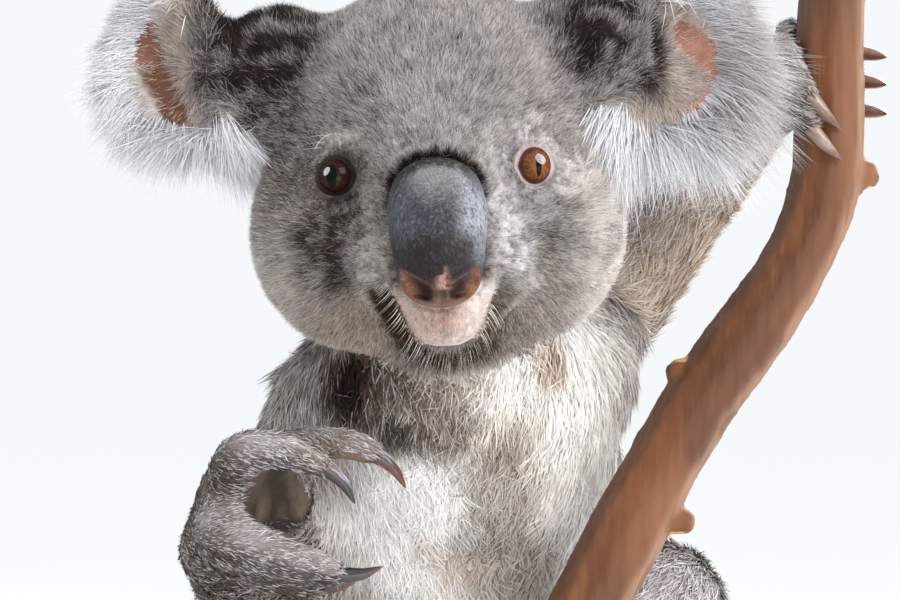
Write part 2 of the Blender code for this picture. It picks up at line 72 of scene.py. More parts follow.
# How the coat is on each part, in millimetres: hair length, depth of the skin under it, and hair width.
COAT = {
    "head": (6.6, 5.0, 0.46),
    "jaw": (5.0, 2.6, 0.45),
    "neck": (13.0, 8.0, 0.9),
    "chest": (15.0, 9.0, 1.0),
    "abdomen": (15.0, 9.0, 1.1),
    "ear": (7.0, 2.2, 0.7),
    "upper_arm": (13.0, 8.0, 1.0),
    "forearm": (9.5, 5.0, 0.8),
    "hand": (4.2, 1.7, 0.5),
    "thigh": (14.0, 8.0, 1.1),
    "shank": (10.0, 5.0, 0.9),
    "foot": (4.5, 1.7, 0.6),
}
FACE_COAT = np.array((2.7, 2.0, 0.27))  # round the nose and mouth
LID_COAT = np.array((2.2, 2.0, 0.26))  # round the eyes


# ---------------------------------------------------------------- numbers: colour, noise, falloff


def rgb(red, green, blue):
    """A colour given as screen values from 0 to 255, in linear light."""
    screen = np.array((red, green, blue)) / 255
    return np.where(screen <= 0.04045, screen / 12.92, ((screen + 0.055) / 1.055) ** 2.4)


def scatter(cells, seed, channels=1):
    """Fixed random numbers from 0 to 1 for whole-number cells."""
    numbers = []
    for channel in range(channels):
        bits = cells[:, 0] * 73856093 ^ cells[:, 1] * 19349663 ^ cells[:, 2] * 83492791
        bits = (bits ^ (seed * 7919 + channel * 104729)) & 0xFFFFFFFF
        bits = ((bits ^ (bits >> 16)) * 0x45D9F3B) & 0xFFFFFFFF
        bits = ((bits ^ (bits >> 16)) * 0x45D9F3B) & 0xFFFFFFFF
        numbers.append((bits ^ (bits >> 16)) / 0xFFFFFFFF)
    return np.stack(numbers, 1)


def noise(places, size, seed=0):
    """Smooth noise from 0 to 1 whose lumps are about this size."""
    scaled = places / size
    low = np.floor(scaled).astype(np.int64)
    part = scaled - low
    part = part * part * (3 - 2 * part)
    total = np.zeros(len(places))
    for corner in itertools.product((0, 1), repeat=3):
        weight = np.prod(np.where(corner, part, 1 - part), axis=1)
        total += weight * scatter(low + corner, seed)[:, 0]
    return total


def clump(places, size, seed):
    """For each place, the way to the middle of its clump, and a number from 0 to 1 that the clump shares."""
    cells = np.floor(places / size).astype(np.int64)
    nearest = np.full(len(places), np.inf)
    way = np.zeros_like(places)
    shared = np.zeros(len(places))
    for step in itertools.product((-1, 0, 1), repeat=3):
        random = scatter(cells + step, seed, 4)
        offset = (cells + step + random[:, :3]) * size - places
        distance = (offset**2).sum(1)
        closer = distance < nearest
        nearest[closer] = distance[closer]
        way[closer] = offset[closer]
        shared[closer] = random[closer, 3]
    return way, shared


def rise(low, high, values):
    """0 up to low, 1 from high on and a soft curve between them. Where high is the lower one, it falls."""
    share = np.clip((values - low) / (high - low), 0, 1)
    return share * share * (3 - 2 * share)


def bell(distance, width):
    """1 at no distance, falling off softly to about a third at this width."""
    return np.exp(-((distance / width) ** 2))


def within(places, middle, radii, soft):
    """1 inside an ellipsoid, falling to 0 outside it. soft is the falloff as a share of the radii."""
    distance = np.sqrt((((places - np.array(middle)) / np.array(radii)) ** 2).sum(1))
    return 1 - rise(1 - soft, 1 + soft, distance)


def unit(vectors):
    return vectors / np.maximum(np.linalg.norm(vectors, axis=1, keepdims=True), 1e-12)


def mixed(one, other, share):
    """One colour, or one for each place, mixed with another by one share or by a share for each place."""
    share = np.reshape(share, (-1, 1))
    return one * (1 - share) + other * share


def layered(colours, *layers):
    """Colours with others laid over them in turn, each given as (colour, share)."""
    for colour, share in layers:
        colours = mixed(colours, colour, share)
    return colours


def marked(colours, places, marks, soft, where=1):
    """Colours with ellipsoid marks laid over them, each given as (middle, radii, colour, strength)."""
    for middle, radii, colour, strength in marks:
        colours = mixed(colours, colour, strength * within(places, middle, radii, soft) * where)
    return colours


def rippled(places, size, seed, reach):
    """The places moved about by noise, so that what is drawn on them has uneven edges."""
    moved = np.stack([noise(places, size, seed + axis) for axis in range(3)], 1)
    return places + (moved - 0.5) * reach


# ---------------------------------------------------------------- places read from the solids


def centre(node):
    low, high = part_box(node)
    return (low + high) / 2


# In millimetres on the head: how far back the middles of the eyes lie, their radius, and their x.
EYE_DEPTH = 9.5
EYE_RADIUS = 8.5
EYE_X = (centre("eye_left") - centre("eye_right")).length / 2 / MM


def head_matrix():
    """The head's own axes, from the two eyes."""
    left, right = centre("eye_left"), centre("eye_right")
    roll = math.atan2(left.z - right.z, left.x - right.x)
    middle = (left + right) / 2 - Vector((0, EYE_DEPTH * MM, 0))
    return Matrix.Translation(middle) @ Matrix.Rotation(-roll, 4, "Y")


HEAD = head_matrix()
HEAD_INVERSE = np.array(HEAD.inverted())
HEAD_AXES, HEAD_MIDDLE = np.array(HEAD)[:3, :3], np.array(HEAD)[:3, 3]


def on_head(points):
    """Places in metres as millimetres on the head."""
    return (points @ HEAD_INVERSE[:3, :3].T + HEAD_INVERSE[:3, 3]) / MM


def from_head(places_mm):
    """Places in millimetres on the head as places in metres."""
    return (np.asarray(places_mm) * MM) @ HEAD_AXES.T + HEAD_MIDDLE


def kind(node):
    return node.removesuffix("_left").removesuffix("_right")


def middle_of(nodes):
    """The mean of the nodes' vertices."""
    points = [v.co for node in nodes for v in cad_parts[node].data.vertices]
    return np.array(sum(points, Vector()) / len(points))


def claws_of(limb):
    return sorted(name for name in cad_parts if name.startswith(f"claw_{limb}_"))


# ---------------------------------------------------------------- making meshes


def placed(name, data):
    """A new object that holds this mesh, lamp or camera."""
    thing = bpy.data.objects.new(name, data)
    bpy.context.scene.collection.objects.link(thing)
    return thing


def shown(name, mesh, material, nodes=(), colours=None):
    """A new piece that rides on the object, in place of these nodes."""
    if colours is not None:
        add_colours(mesh, colours)
    mesh.shade_smooth()
    piece = placed(name, mesh)
    mesh.materials.clear()
    mesh.materials.append(material)
    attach(piece, "root")
    if nodes:
        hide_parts(*nodes)
    return piece


def mesh_of(name, points, faces):
    """A mesh from an array of points and an array of triangles or quads."""
    mesh = bpy.data.meshes.new(name)
    corners = faces.shape[1]
    mesh.vertices.add(len(points))
    mesh.vertices.foreach_set("co", points.astype(np.float32).ravel())
    mesh.loops.add(faces.size)
    mesh.loops.foreach_set("vertex_index", faces.astype(np.int32).ravel())
    mesh.polygons.add(len(faces))
    mesh.polygons.foreach_set("loop_start", np.arange(0, faces.size, corners, dtype=np.int32))
    mesh.update(calc_edges=True)
    mesh.validate()
    return mesh


def add_colours(mesh, colours):
    layer = mesh.color_attributes.new("tint", "FLOAT_COLOR", "POINT")
    rgba = np.ones((len(colours), 4), np.float32)
    rgba[:, :3] = np.clip(colours, 0, 1)
    layer.data.foreach_set("color", rgba.ravel())


def array_of(items, key, kind_of_number=float, width=3):
    """One value of each of a mesh's items as the rows of an array."""
    values = np.empty(len(items) * width, kind_of_number)
    items.foreach_get(key, values)
    return values.reshape(-1, width)


def points_of(mesh):
    return array_of(mesh.vertices, "co")


def normals_of(mesh):
    return array_of(mesh.vertices, "normal")


def move_points(mesh, points):
    mesh.vertices.foreach_set("co", points.astype(np.float32).ravel())
    mesh.update()


def edges_of(mesh):
    return array_of(mesh.edges, "vertices", np.int32, 2)


def triangles_of(mesh):
    mesh.calc_loop_triangles()
    return array_of(mesh.loop_triangles, "vertices", np.int32)


def crosses(points, triangles):
    """For each triangle, a vector along its normal that is twice its area long."""
    a, b, c = (points[corner] for corner in triangles.T)
    return np.cross(b - a, c - a)


def mesh_from(bm, name):
    mesh = bpy.data.meshes.new(name)
    bm.to_mesh(mesh)
    bm.free()
    return mesh


def spread(values, edges, rounds):
    """Values on a mesh's vertices, evened out along its edges."""
    values = np.array(values, float).reshape(len(values), -1)
    neighbours = np.maximum(np.bincount(edges.ravel(), minlength=len(values)), 1)[:, None]
    start, end = edges.T
    for _ in range(rounds):
        total = np.stack(
            [
                np.bincount(start, column[end], len(values)) + np.bincount(end, column[start], len(values))
                for column in values.T
            ],
            1,
        )
        values = 0.4 * values + 0.6 * total / neighbours
    return values


def grid_faces(rows, columns, closed):
    """Quads between rows of points, the rows closed into rings or left open."""
    row = np.arange(rows - 1)[:, None] * columns
    column = np.arange(columns if closed else columns - 1)[None, :]
    following = (column + 1) % columns
    quads = np.stack([row + column, row + following, row + columns + following, row + columns + column], -1)
    return quads.reshape(-1, 4)


def evaluated(mesh, *modifiers):
    """The mesh after these modifiers, each (type, settings)."""
    holder = placed("holder", mesh)
    for number, (modifier_type, settings) in enumerate(modifiers):
        modifier = holder.modifiers.new(f"step {number}", modifier_type)
        for key, value in settings.items():
            setattr(modifier, key, value)
    graph = bpy.context.evaluated_depsgraph_get()
    result = bpy.data.meshes.new_from_object(holder.evaluated_get(graph))
    bpy.data.objects.remove(holder)
    return result


def remeshed(mesh, voxel, smoothing):
    fuse = ("REMESH", {"mode": "VOXEL", "voxel_size": voxel})
    smooth = ("SMOOTH", {"factor": 0.5, "iterations": smoothing})
    return evaluated(mesh, fuse, smooth)


# ---------------------------------------------------------------- materials


class Nodes:
    """A short way to build a material's nodes."""

    def __init__(self, name, roughness, specular=0.5, coat=0.0):
        self.material = bpy.data.materials.new(name)
        self.material.use_nodes = True
        self.tree = self.material.node_tree
        self.shader = self.tree.nodes["Principled BSDF"]
        self.shader.inputs["Roughness"].default_value = roughness
        self.shader.inputs["Specular IOR Level"].default_value = specular
        self.shader.inputs["Coat Weight"].default_value = coat
        self.shader.inputs["Coat Roughness"].default_value = 0.03
        self.places = self.add("ShaderNodeTexCoord").outputs["Object"]

    def add(self, node_type, **inputs):
        node = self.tree.nodes.new(node_type)
        for name, value in inputs.items():
            self.feed(node, name.replace("_", " "), value)
        return node

    def feed(self, node, socket, value):
        if isinstance(value, bpy.types.NodeSocket):
            self.tree.links.new(value, node.inputs[socket])
        else:
            node.inputs[socket].default_value = value

    def noise(self, scale, detail=4.0, stretch=(1, 1, 1)):
        stretched = self.add("ShaderNodeMapping", Vector=self.places, Scale=stretch)
        return self.add(
            "ShaderNodeTexNoise", Vector=stretched.outputs["Vector"], Scale=scale, Detail=detail
        ).outputs["Fac"]

    def spots(self, scale):
        return self.add("ShaderNodeTexVoronoi", Vector=self.places, Scale=scale).outputs["Distance"]

    def ramp(self, value, *stops):
        """A colour ramp through stops, each (position, colour)."""
        node = self.add("ShaderNodeValToRGB", Fac=value)
        elements = node.color_ramp.elements
        while len(elements) < len(stops):
            elements.new(0.5)
        for element, (position, colour) in zip(elements, stops):
            element.position = position
            element.color = (*colour, 1)
        return node.outputs["Color"]

    def tint(self):
        node = self.add("ShaderNodeAttribute")
        node.attribute_name = "tint"
        return node.outputs["Color"]

    def tinted(self, other):
        """The mesh's own colours, darkened by these: the shader's colour. Gives the finished material."""
        node = self.tree.nodes.new("ShaderNodeMix")
        node.data_type = "RGBA"
        node.blend_type = "MULTIPLY"
        node.inputs[0].default_value = 1.0
        self.tree.links.new(self.tint(), node.inputs[6])
        self.tree.links.new(other, node.inputs[7])
        return self.colour(node.outputs[2])

    def bump(self, height, strength, distance):
        node = self.add("ShaderNodeBump", Height=height, Strength=strength, Distance=distance)
        self.tree.links.new(node.outputs["Normal"], self.shader.inputs["Normal"])

    def colour(self, value):
        self.feed(self.shader, "Base Color", value)
        return self.material


def grey(value):
    return (value, value, value)


def coat_material():
    nodes = Nodes("coat_hair", roughness=0.75, specular=0.06)
    flecks = nodes.ramp(nodes.noise(700, 2), (0.3, grey(0.84)), (0.7, grey(1.0)))
    return nodes.tinted(flecks)


def skin_material():
    nodes = Nodes("under_skin", roughness=0.7, specular=0.3)
    mottled = nodes.ramp(nodes.noise(420, 5), (0.3, grey(0.7)), (0.7, grey(1.0)))
    nodes.bump(nodes.noise(900, 4), 0.5, 0.0006)
    return nodes.tinted(mottled)


def nose_material():
    nodes = Nodes("nose_leather", roughness=0.5, specular=0.22)
    nodes.bump(nodes.spots(1500), 0.5, 0.0004)
    downy = nodes.ramp(nodes.noise(1900, 3, stretch=(1, 1, 0.4)), (0.36, grey(0.42)), (0.66, grey(1.0)))
    return nodes.tinted(downy)


def eye_material():
    nodes = Nodes("eye", roughness=0.5, specular=0.0, coat=0.2)
    return nodes.colour(nodes.tint())


def claw_material():
    nodes = Nodes("claw_horn", roughness=0.3, specular=0.55, coat=0.25)
    nodes.bump(nodes.noise(900, 3, stretch=(1, 0.3, 0.3)), 0.25, 0.0003)
    streaks = nodes.ramp(nodes.noise(600, 3), (0.3, grey(0.7)), (0.7, grey(1.0)))
    return nodes.tinted(streaks)


def bark_material():
    nodes = Nodes("bark", roughness=0.62, specular=0.35)
    grain = nodes.noise(260, 6, stretch=(1, 1, 0.12))
    nodes.bump(grain, 0.5, 0.0012)
    streaks = nodes.ramp(grain, (0.25, (0.66, 0.58, 0.52)), (0.5, (0.88, 0.85, 0.83)), (0.75, grey(1.0)))
    return nodes.tinted(streaks)


def stand_material():
    nodes = Nodes("stand_paint", roughness=0.42, specular=0.5)
    nodes.bump(nodes.noise(1400, 3), 0.12, 0.0003)
    even = nodes.ramp(nodes.noise(30, 3), (0.3, (0.56, 0.56, 0.545)), (0.7, (0.62, 0.62, 0.605)))
    return nodes.colour(even)


# ---------------------------------------------------------------- markings

GREY_BROWN = rgb(144, 127, 118)
SILVER = rgb(172, 163, 165)
DARK = rgb(58, 43, 35)
BLACK = rgb(26, 19, 17)
SOOT = rgb(50, 38, 36)
CREAM = rgb(232, 222, 211)
WHITE = rgb(244, 242, 240)
PALEST = rgb(254, 252, 249)
TAN = rgb(176, 142, 112)
OLIVE = rgb(54, 37, 21)
EAR_SKIN = rgb(158, 108, 92)
PAD_SKIN = rgb(84, 72, 60)

# On the head, in its own millimetres: middle, radii, colour, strength.
HEAD_MARKS = (
    ((0, 30, 45), (60, 60, 40), SILVER, 0.55),  # forehead
    ((0, 5, 10), (16, 20, 22), SILVER, 0.8),  # above the nose
    ((-64, 36, 50), (28, 36, 28), SOOT, 0.96),  # dark tufts at the roots of the ears
    ((68, 36, 52), (27, 36, 31), SOOT, 0.96),
    ((-38, 6, -24), (13, 20, 16), DARK, 0.9),  # dark below the eyes
    ((-33, 2, -36), (8, 20, 9), DARK, 0.7),
    ((40, 8, -22), (9, 20, 13), DARK, 0.55),
    ((-50, 20, 10), (16, 24, 22), DARK, 0.6),  # outer brow on the right
    ((-30, 6, 26), (12, 20, 16), DARK, 0.45),
    ((-58, 24, -22), (16, 26, 26), DARK, 0.25),  # outer right cheek
    ((-22.5, 0, -33), (7, 26, 18), CREAM, 0.55),  # pale stripes beside the nose
    ((25, 0, -26), (8.5, 26, 26), rgb(214, 212, 216), 0.9),
    ((18, -4, -44), (8, 20, 9), rgb(222, 216, 214), 0.85),
    ((20, 0, 6), (4, 14, 10), WHITE, 0.3),
    ((-33, 4, 12.5), (8, 14, 4), CREAM, 0.5),  # pale arcs over the eyes
    ((33, 4, 14), (10, 14, 5), rgb(214, 206, 208), 0.5),
    ((50, 4, -4), (8, 14, 8), WHITE, 0.5),
    ((68, 34, -30), (28, 44, 48), rgb(218, 210, 206), 0.75),  # pale left cheek
    ((-66, 40, -48), (26, 40, 34), CREAM, 0.4),  # and lower right cheek
    ((0, -4, -77), (34, 44, 12), CREAM, 0.9),  # under the chin
    ((-36, 10, -60), (18, 30, 14), TAN, 0.45),
    ((36, 0, 0), (11, 20, 12), rgb(206, 196, 198), 0.9),  # round the left eye
    ((34, 2, -14), (10, 16, 7), rgb(186, 178, 180), 0.7),
    # Round the right eye darker than round the left one: partly painted shade on the shaded side of the face.
    ((-37, 0, -1), (11, 20, 12), rgb(104, 87, 79), 0.8),  # and round the right one
    ((-35, 0, -9.5), (8, 14, 3.5), rgb(50, 38, 35), 0.8),
)

# The line of the mouth, seen from the front, in the head's millimetres.
MOUTH_MIDDLE, MOUTH_WIDTH, MOUTH_TOP, MOUTH_BOTTOM = 1.2, 17.4, -47.0, -66.5

# Down the middle of the bare skin in each ear: x and height on the head, in millimetres.
EAR_HOLLOWS = (((99, 49), (114, 37), (110, 25), (100, 17)), ((-112, 66), (-109, 54), (-105, 43), (-99, 31)))

# On the body, in millimetres: middle, radii, colour, strength.
BODY_MARKS = (
    ((36, -60, 440), (62, 70, 76), CREAM, 0.95),  # breast
    ((34, -40, 486), (40, 70, 26), PALEST, 0.9),
    ((-16, -60, 408), (36, 70, 48), PALEST, 1.0),
    ((60, -50, 420), (24, 70, 60), PALEST, 0.8),
    # The dark patch below the chin and at the right shoulder: brown fur, partly painted shade on the inner
    # shoulder.
    ((-32, -62, 466), (29, 60, 24), rgb(84, 64, 52), 0.85),  # dark patch at the right shoulder
    ((-40, -62, 470), (8, 50, 11), BLACK, 0.85),
    ((-22, -62, 452), (7, 50, 7), BLACK, 0.6),
    ((-4, -62, 462), (15, 50, 18), rgb(136, 116, 104), 0.85),
    ((35, -50, 480), (5, 30, 12), TAN, 0.75),
    ((20, -50, 420), (15, 50, 36), rgb(134, 114, 98), 0.85),  # grey-brown down the left flank
    ((30, -50, 396), (26, 50, 22), rgb(126, 106, 92), 0.85),
    ((2, -50, 392), (15, 40, 13), TAN, 0.8),
    ((0, -10, 300), (60, 50, 60), CREAM, 0.85),  # belly
    ((-40, 150, 262), (26, 30, 30), CREAM, 0.5),  # dapples on the rump
    ((34, 156, 276), (24, 30, 28), CREAM, 0.5),
    ((0, 150, 226), (44, 40, 22), CREAM, 0.55),
    ((0, 120, 420), (26, 60, 90), DARK, 0.3),  # darker along the spine
)


def mouth_curve(x_mm):
    """Height of the corner-to-corner line of the mouth at x."""
    share = np.clip(np.abs(x_mm - MOUTH_MIDDLE) / MOUTH_WIDTH, 0, 1.3)
    return MOUTH_BOTTOM + (MOUTH_TOP - MOUTH_BOTTOM) * share**3.2


def mouth_distance(h):
    """Distance in mm from the line of the mouth, seen from the front; negative inside it."""
    steps = np.linspace(-1.12, 1.12, 57) * MOUTH_WIDTH + MOUTH_MIDDLE
    nearest = np.full(len(h), np.inf)
    for place in np.stack([steps, mouth_curve(steps)], 1):
        nearest = np.minimum(nearest, ((h[:, [0, 2]] - place) ** 2).sum(1))
    nearest = np.sqrt(nearest)
    inside = (h[:, 2] > mouth_curve(h[:, 0])) & (np.abs(h[:, 0] - MOUTH_MIDDLE) < MOUTH_WIDTH + 3)
    return np.where(inside, -nearest, nearest)


# Down the pad of the nose, in the head's millimetres: middle and radii.
NOSE_STATIONS = (
    ((0, -13, -9.5), (16.4, 11, 13)),  # upper end, between the eyes
    ((0, -20, -17), (17.8, 13, 14)),
    ((0, -28, -29), (16.4, 14, 13)),
    ((0, -34, -40), (14.2, 12, 10.5)),  # lower end
)


def fringe_share(h):
    """How dark the fringe round the mouth is: deepest at the corners, and paler on the left."""
    x, y, z = h.T
    away = mouth_distance(h)
    ragged = away + 3 * (noise(h, 2.5, 33) - 0.5)
    deep = 4.0 + 3.0 * rise(8, 20, np.abs(x))
    fringe = rise(-0.2, 0.4, away) * rise(deep + 4, deep - 2.5, ragged) * rise(95, 75, y)
    fringe *= rise(-36, -44, z + 3 * (noise(h, 4, 35) - 0.5))
    return fringe * (0.97 - 0.3 * rise(6, 16, x))


def nose_outline(h):
    """Distance in mm outside the pad of the nose, seen from the front; negative on the pad."""
    nearest = np.full(len(h), np.inf)
    stations = np.array([(*middle, *radii) for middle, radii in NOSE_STATIONS], float)
    for share in np.linspace(0, len(stations) - 1.001, 13):
        low = int(share)
        x, _, z, wide, _, high = stations[low] + (stations[low + 1] - stations[low]) * (share - low)
        flat = np.sqrt(((h[:, 0] - x) / wide) ** 2 + ((h[:, 2] - z) / high) ** 2)
        nearest = np.minimum(nearest, (flat - 1) * min(wide, high))
    return nearest


def eye_distance(h):
    """Distance in mm from the axis of the nearer eye."""
    return np.hypot(np.abs(h[:, 0]) - EYE_X, h[:, 2])


def body_colour(points, region):
    """The coat's colour at each place. region holds the name of the part that each place belongs to."""
    p = points / MM
    patches = noise(p, 26, 5) * 0.6 + noise(p, 9, 6) * 0.4
    colours = layered(
        GREY_BROWN,
        (DARK, 0.32 * rise(0.5, 0.75, patches)),
        (SILVER, 0.5 * rise(0.5, 0.25, patches)),
    )
    is_trunk = np.isin(region, TRUNK)
    return marked(colours, rippled(p, 14, 11, 14), BODY_MARKS, 0.35, is_trunk)


def head_colour(points):
    """Grey-brown with the head's marks, a black rim above the nose and a dark fringe round a pale lip."""
    h = on_head(points)
    x, y, z = h.T
    front = rise(40, 10, y)
    away = mouth_distance(h)
    mottle = noise(h, 5, 31) * 0.5 + noise(h, 2.2, 32) * 0.5
    tufts = rise(0.5, 0.75, noise(h, 5.5, 36)) * rise(10, 30, z) * rise(38, 56, np.abs(x))
    # salt and pepper round the nose and between the eyes
    peppered = front * rise(58, 34, np.hypot(x, z + 4)) * rise(-52, -34, z)
    ragged = nose_outline(h) + 2.0 * (noise(h, 1.4, 34) - 0.5)
    rim = rise(1.9, 0.1, ragged) * rise(-24, -3, z) * front
    tan_edge = rise(17, 6, away) * rise(6, 14, np.abs(x)) * front
    tan_edge *= rise(-38, -46, z) * (0.3 + 0.7 * rise(0.35, 0.6, noise(h, 4, 37)))
    lip = rise(0.6, -0.6, away) * rise(-39, -45, z) * front
    flush = bell(x - 0.5, 7) * rise(-68, -54, z)
    return layered(
        marked(GREY_BROWN, rippled(h, 7, 21, 9), HEAD_MARKS, 0.45),
        (DARK, 0.45 * rise(0.5, 0.72, mottle) * rise(-70, -40, z)),
        (SILVER, 0.25 * tufts),
        (SOOT, 0.7 * peppered * rise(0.56, 0.72, noise(h, 1.3, 38))),
        (WHITE, 0.2 * peppered * rise(0.56, 0.72, noise(h, 1.2, 39))),
        (BLACK, 0.95 * rim),
        (rgb(112, 90, 64), 0.7 * tan_edge),
        (OLIVE, fringe_share(h)),
        # the pale lip turns greyer towards the right: painted shade on the shaded side
        (mixed(rgb(226, 218, 216), rgb(188, 170, 158), rise(8, -10, x)), lip),
        (rgb(182, 128, 102), 0.85 * flush * lip),
    )


def hollow_distance(h):
    """Distance in mm from the line down the middle of the bare skin in the nearer ear."""
    nearest = np.full(len(h), np.inf)
    for line in EAR_HOLLOWS:
        for low, high in zip(line, line[1:]):
            for share in (0, 0.25, 0.5, 0.75, 1):
                x, z = np.array(low) + (np.array(high) - np.array(low)) * share
                nearest = np.minimum(nearest, np.hypot(h[:, 0] - x, h[:, 2] - z))
    return nearest


def ear_colour(points):
    """Sooty on the inner upper side, greyish cream inside, white at the edge and grey-brown behind."""
    h = on_head(points)
    x, y, z = h.T
    across = np.abs(x)
    tuft = rise(93, 84, across + 6 * (noise(h, 6, 24) - 0.5)) * rise(22, 34, z)
    return layered(
        rgb(190, 172, 160),
        (WHITE, 0.8 * rise(104, 118, across + 0.4 * np.abs(z - 44))),
        (GREY_BROWN, 0.85 * rise(42, 56, y)),
        (SOOT, 0.95 * tuft),
        (SILVER, 0.4 * tuft * rise(0.5, 0.75, noise(h, 5.5, 36))),
    )


def limb_colour(points, normals, region):
    """Grey outside, whitish on the tops of the paws (pale hair, partly painted light), and cream or tan on
    the inner and under sides.
    """
    p = points / MM
    left, back, up = normals.T
    patches = noise(p, 12, 8)
    cream = mixed(rgb(224, 208, 190), TAN, 0.6 * noise(p, 16, 9))
    is_left_arm = np.isin(region, ("upper_arm_left", "forearm_left"))
    is_leg = np.isin(region, ("thigh_left", "thigh_right", "shank_left", "shank_right"))
    is_paw = np.isin(region, PAWS)
    # lit: the tops of the paws, lighter as painted light, broken up by noise
    lit = rise(0.1, 0.8, up) * rise(0.2, 0.6, noise(p, 9, 14))
    return layered(
        GREY_BROWN,
        (SILVER, 0.6 * rise(0.45, 0.7, patches)),
        (DARK, 0.3 * rise(0.45, 0.25, patches)),
        (cream, 0.92 * is_left_arm * rise(-0.2, 0.5, -0.75 * up - 0.65 * back)),
        (cream, 0.9 * is_leg * rise(0.1, 0.8, -left * np.sign(points[:, 0]))),
        # the fronts of the legs lighter: painted light
        (rgb(210, 205, 209), 0.85 * is_leg * rise(0.1, -0.6, back)),
        # painted light on the tops of the paws
        (rgb(214, 210, 212), 0.5 * is_paw * lit),
        # the undersides of the paws darker: painted shade
        (SOOT, 0.6 * is_paw * rise(0.1, -0.5, up)),
        # the inner side of the right upper arm darker: painted shade
        (DARK, 0.6 * (region == "upper_arm_right") * rise(0.2, 0.8, left)),
    )


def coat_colour(points, normals, region):
    """The markings, for skin and coat alike."""
    colours = body_colour(points, region)
    kinds = np.array([kind(name) for name in region])
    for mask, made in ((np.isin(kinds, FACE), head_colour), (kinds == "ear", ear_colour)):
        if mask.any():
            colours[mask] = made(points[mask])
    limbs = np.isin(kinds, ("upper_arm", "forearm", "hand", "thigh", "shank", "foot"))
    if limbs.any():
        colours[limbs] = limb_colour(points[limbs], normals[limbs], region[limbs])
    # The head's colours run on into the neck and chest below and behind it.
    near = np.isin(kinds, ("neck", "chest"))
    if near.any():
        h = on_head(points[near])
        share = rise(-95, -70, h[:, 2]) * rise(-10, 30, points[near][:, 1] / MM)
        share = share * (kinds[near] == "neck")
        colours[near] = layered(colours[near], (GREY_BROWN, share), (OLIVE, fringe_share(h)))
    return colours


# ---------------------------------------------------------------- skin


def flesh_mesh():
    """The flesh solids, with nose and eyes to fill their hollows, grown a little and fused."""
    bm = bmesh.new()
    for name in [*FLESH, "nose", "eye_left", "eye_right"]:
        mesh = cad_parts[name].data.copy()
        bmesh_part = bmesh.new()
        bmesh_part.from_mesh(mesh)
        bmesh.ops.remove_doubles(bmesh_part, verts=bmesh_part.verts, dist=1e-6)
        bmesh_part.normal_update()
        for vert in bmesh_part.verts:
            vert.co += vert.normal * SEAM
        bmesh_part.to_mesh(mesh)
        bmesh_part.free()
        bm.from_mesh(mesh)
    return remeshed(mesh_from(bm, "flesh"), SKIN_VOXEL, 10)


def region_finder():
    """A function that names the flesh solid nearest to each place."""
    points, faces, names = [], [], []
    for name in FLESH:
        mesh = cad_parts[name].data
        start = len(points)
        points += [v.co.copy() for v in mesh.vertices]
        triangles = triangles_of(mesh) + start
        faces += triangles.tolist()
        names += [name] * len(triangles)
    tree = BVHTree.FromPolygons(points, faces)

    def nearest(places):
        return np.array([names[tree.find_nearest(Vector(place))[2]] for place in places])

    return nearest


nearest_part = region_finder()


def coat_numbers(points, region, edges):
    """Hair length, skin depth and hair width at each vertex, in millimetres, evened out between parts."""
    numbers = np.array([COAT[kind(name)] for name in region])
    h = on_head(points)
    on_face = np.isin(region, FACE)
    muzzle = np.linalg.norm((h - np.array((0, -22, -34))) / np.array((1, 1.15, 1)), axis=1)
    numbers = mixed(numbers, FACE_COAT, rise(62, 20, muzzle) * on_face)
    lids = rise(22, 10, eye_distance(h)) * on_face * (h[:, 1] < 30)
    numbers = mixed(numbers, LID_COAT, lids)
    away = mouth_distance(h)
    lip = rise(1.5, -0.5, away) * rise(-6, -2.5, away) * rise(-40, -48, h[:, 2]) * on_face
    numbers[:, 0] *= 1 - 0.45 * lip
    numbers[:, 0] += 1.6 * rise(0.5, 2, away) * rise(8, 5, away) * (h[:, 2] < -40) * on_face
    in_ear = np.char.startswith(region.astype(str), "ear_") * rise(20, 8, hollow_distance(h))
    numbers = mixed(numbers, np.array((4.5, 2.2, 0.45)), in_ear)
    return spread(numbers, edges, 6)


def bare_share(points, normals, region):
    """1 where the skin carries no hair: palms, soles, inside of the ears' cups, and under nose and eyes."""
    bare = np.zeros(len(points))
    for limb in PAWS:
        mask = region == limb
        if not mask.any():
            continue
        way = grip_middle(limb) - points[mask]
        facing = (unit(way) * normals[mask]).sum(1)
        near = rise(38 * MM, 30 * MM, np.linalg.norm(way, axis=1))
        bare[mask] = rise(0.45, 0.75, facing) * near
    h = on_head(points)
    on_face = np.isin(region, FACE)
    bare = np.maximum(bare, on_face * (nose_outline(h) < -0.5) * (h[:, 1] < 20))
    return np.maximum(bare, on_face * (eye_distance(h) < 7.9) * (h[:, 1] < 24))


def grip_middle(limb):
    """What the limb closes round: the middle between its own middle and its claws'."""
    return middle_of([limb]) * 0.4 + middle_of(claws_of(limb)) * 0.6


def refine(mesh, chosen):
    """Halves the mesh's edges where chosen, a truth value for each vertex, is true at both ends."""
    bm = bmesh.new()
    bm.from_mesh(mesh)
    bm.verts.ensure_lookup_table()
    edges = [e for e in bm.edges if chosen[e.verts[0].index] and chosen[e.verts[1].index]]
    bmesh.ops.subdivide_edges(bm, edges=edges, cuts=1, use_grid_fill=True)
    bmesh.ops.triangulate(bm, faces=[f for f in bm.faces if len(f.verts) > 4])
    bm.to_mesh(mesh)
    bm.free()
    mesh.update()


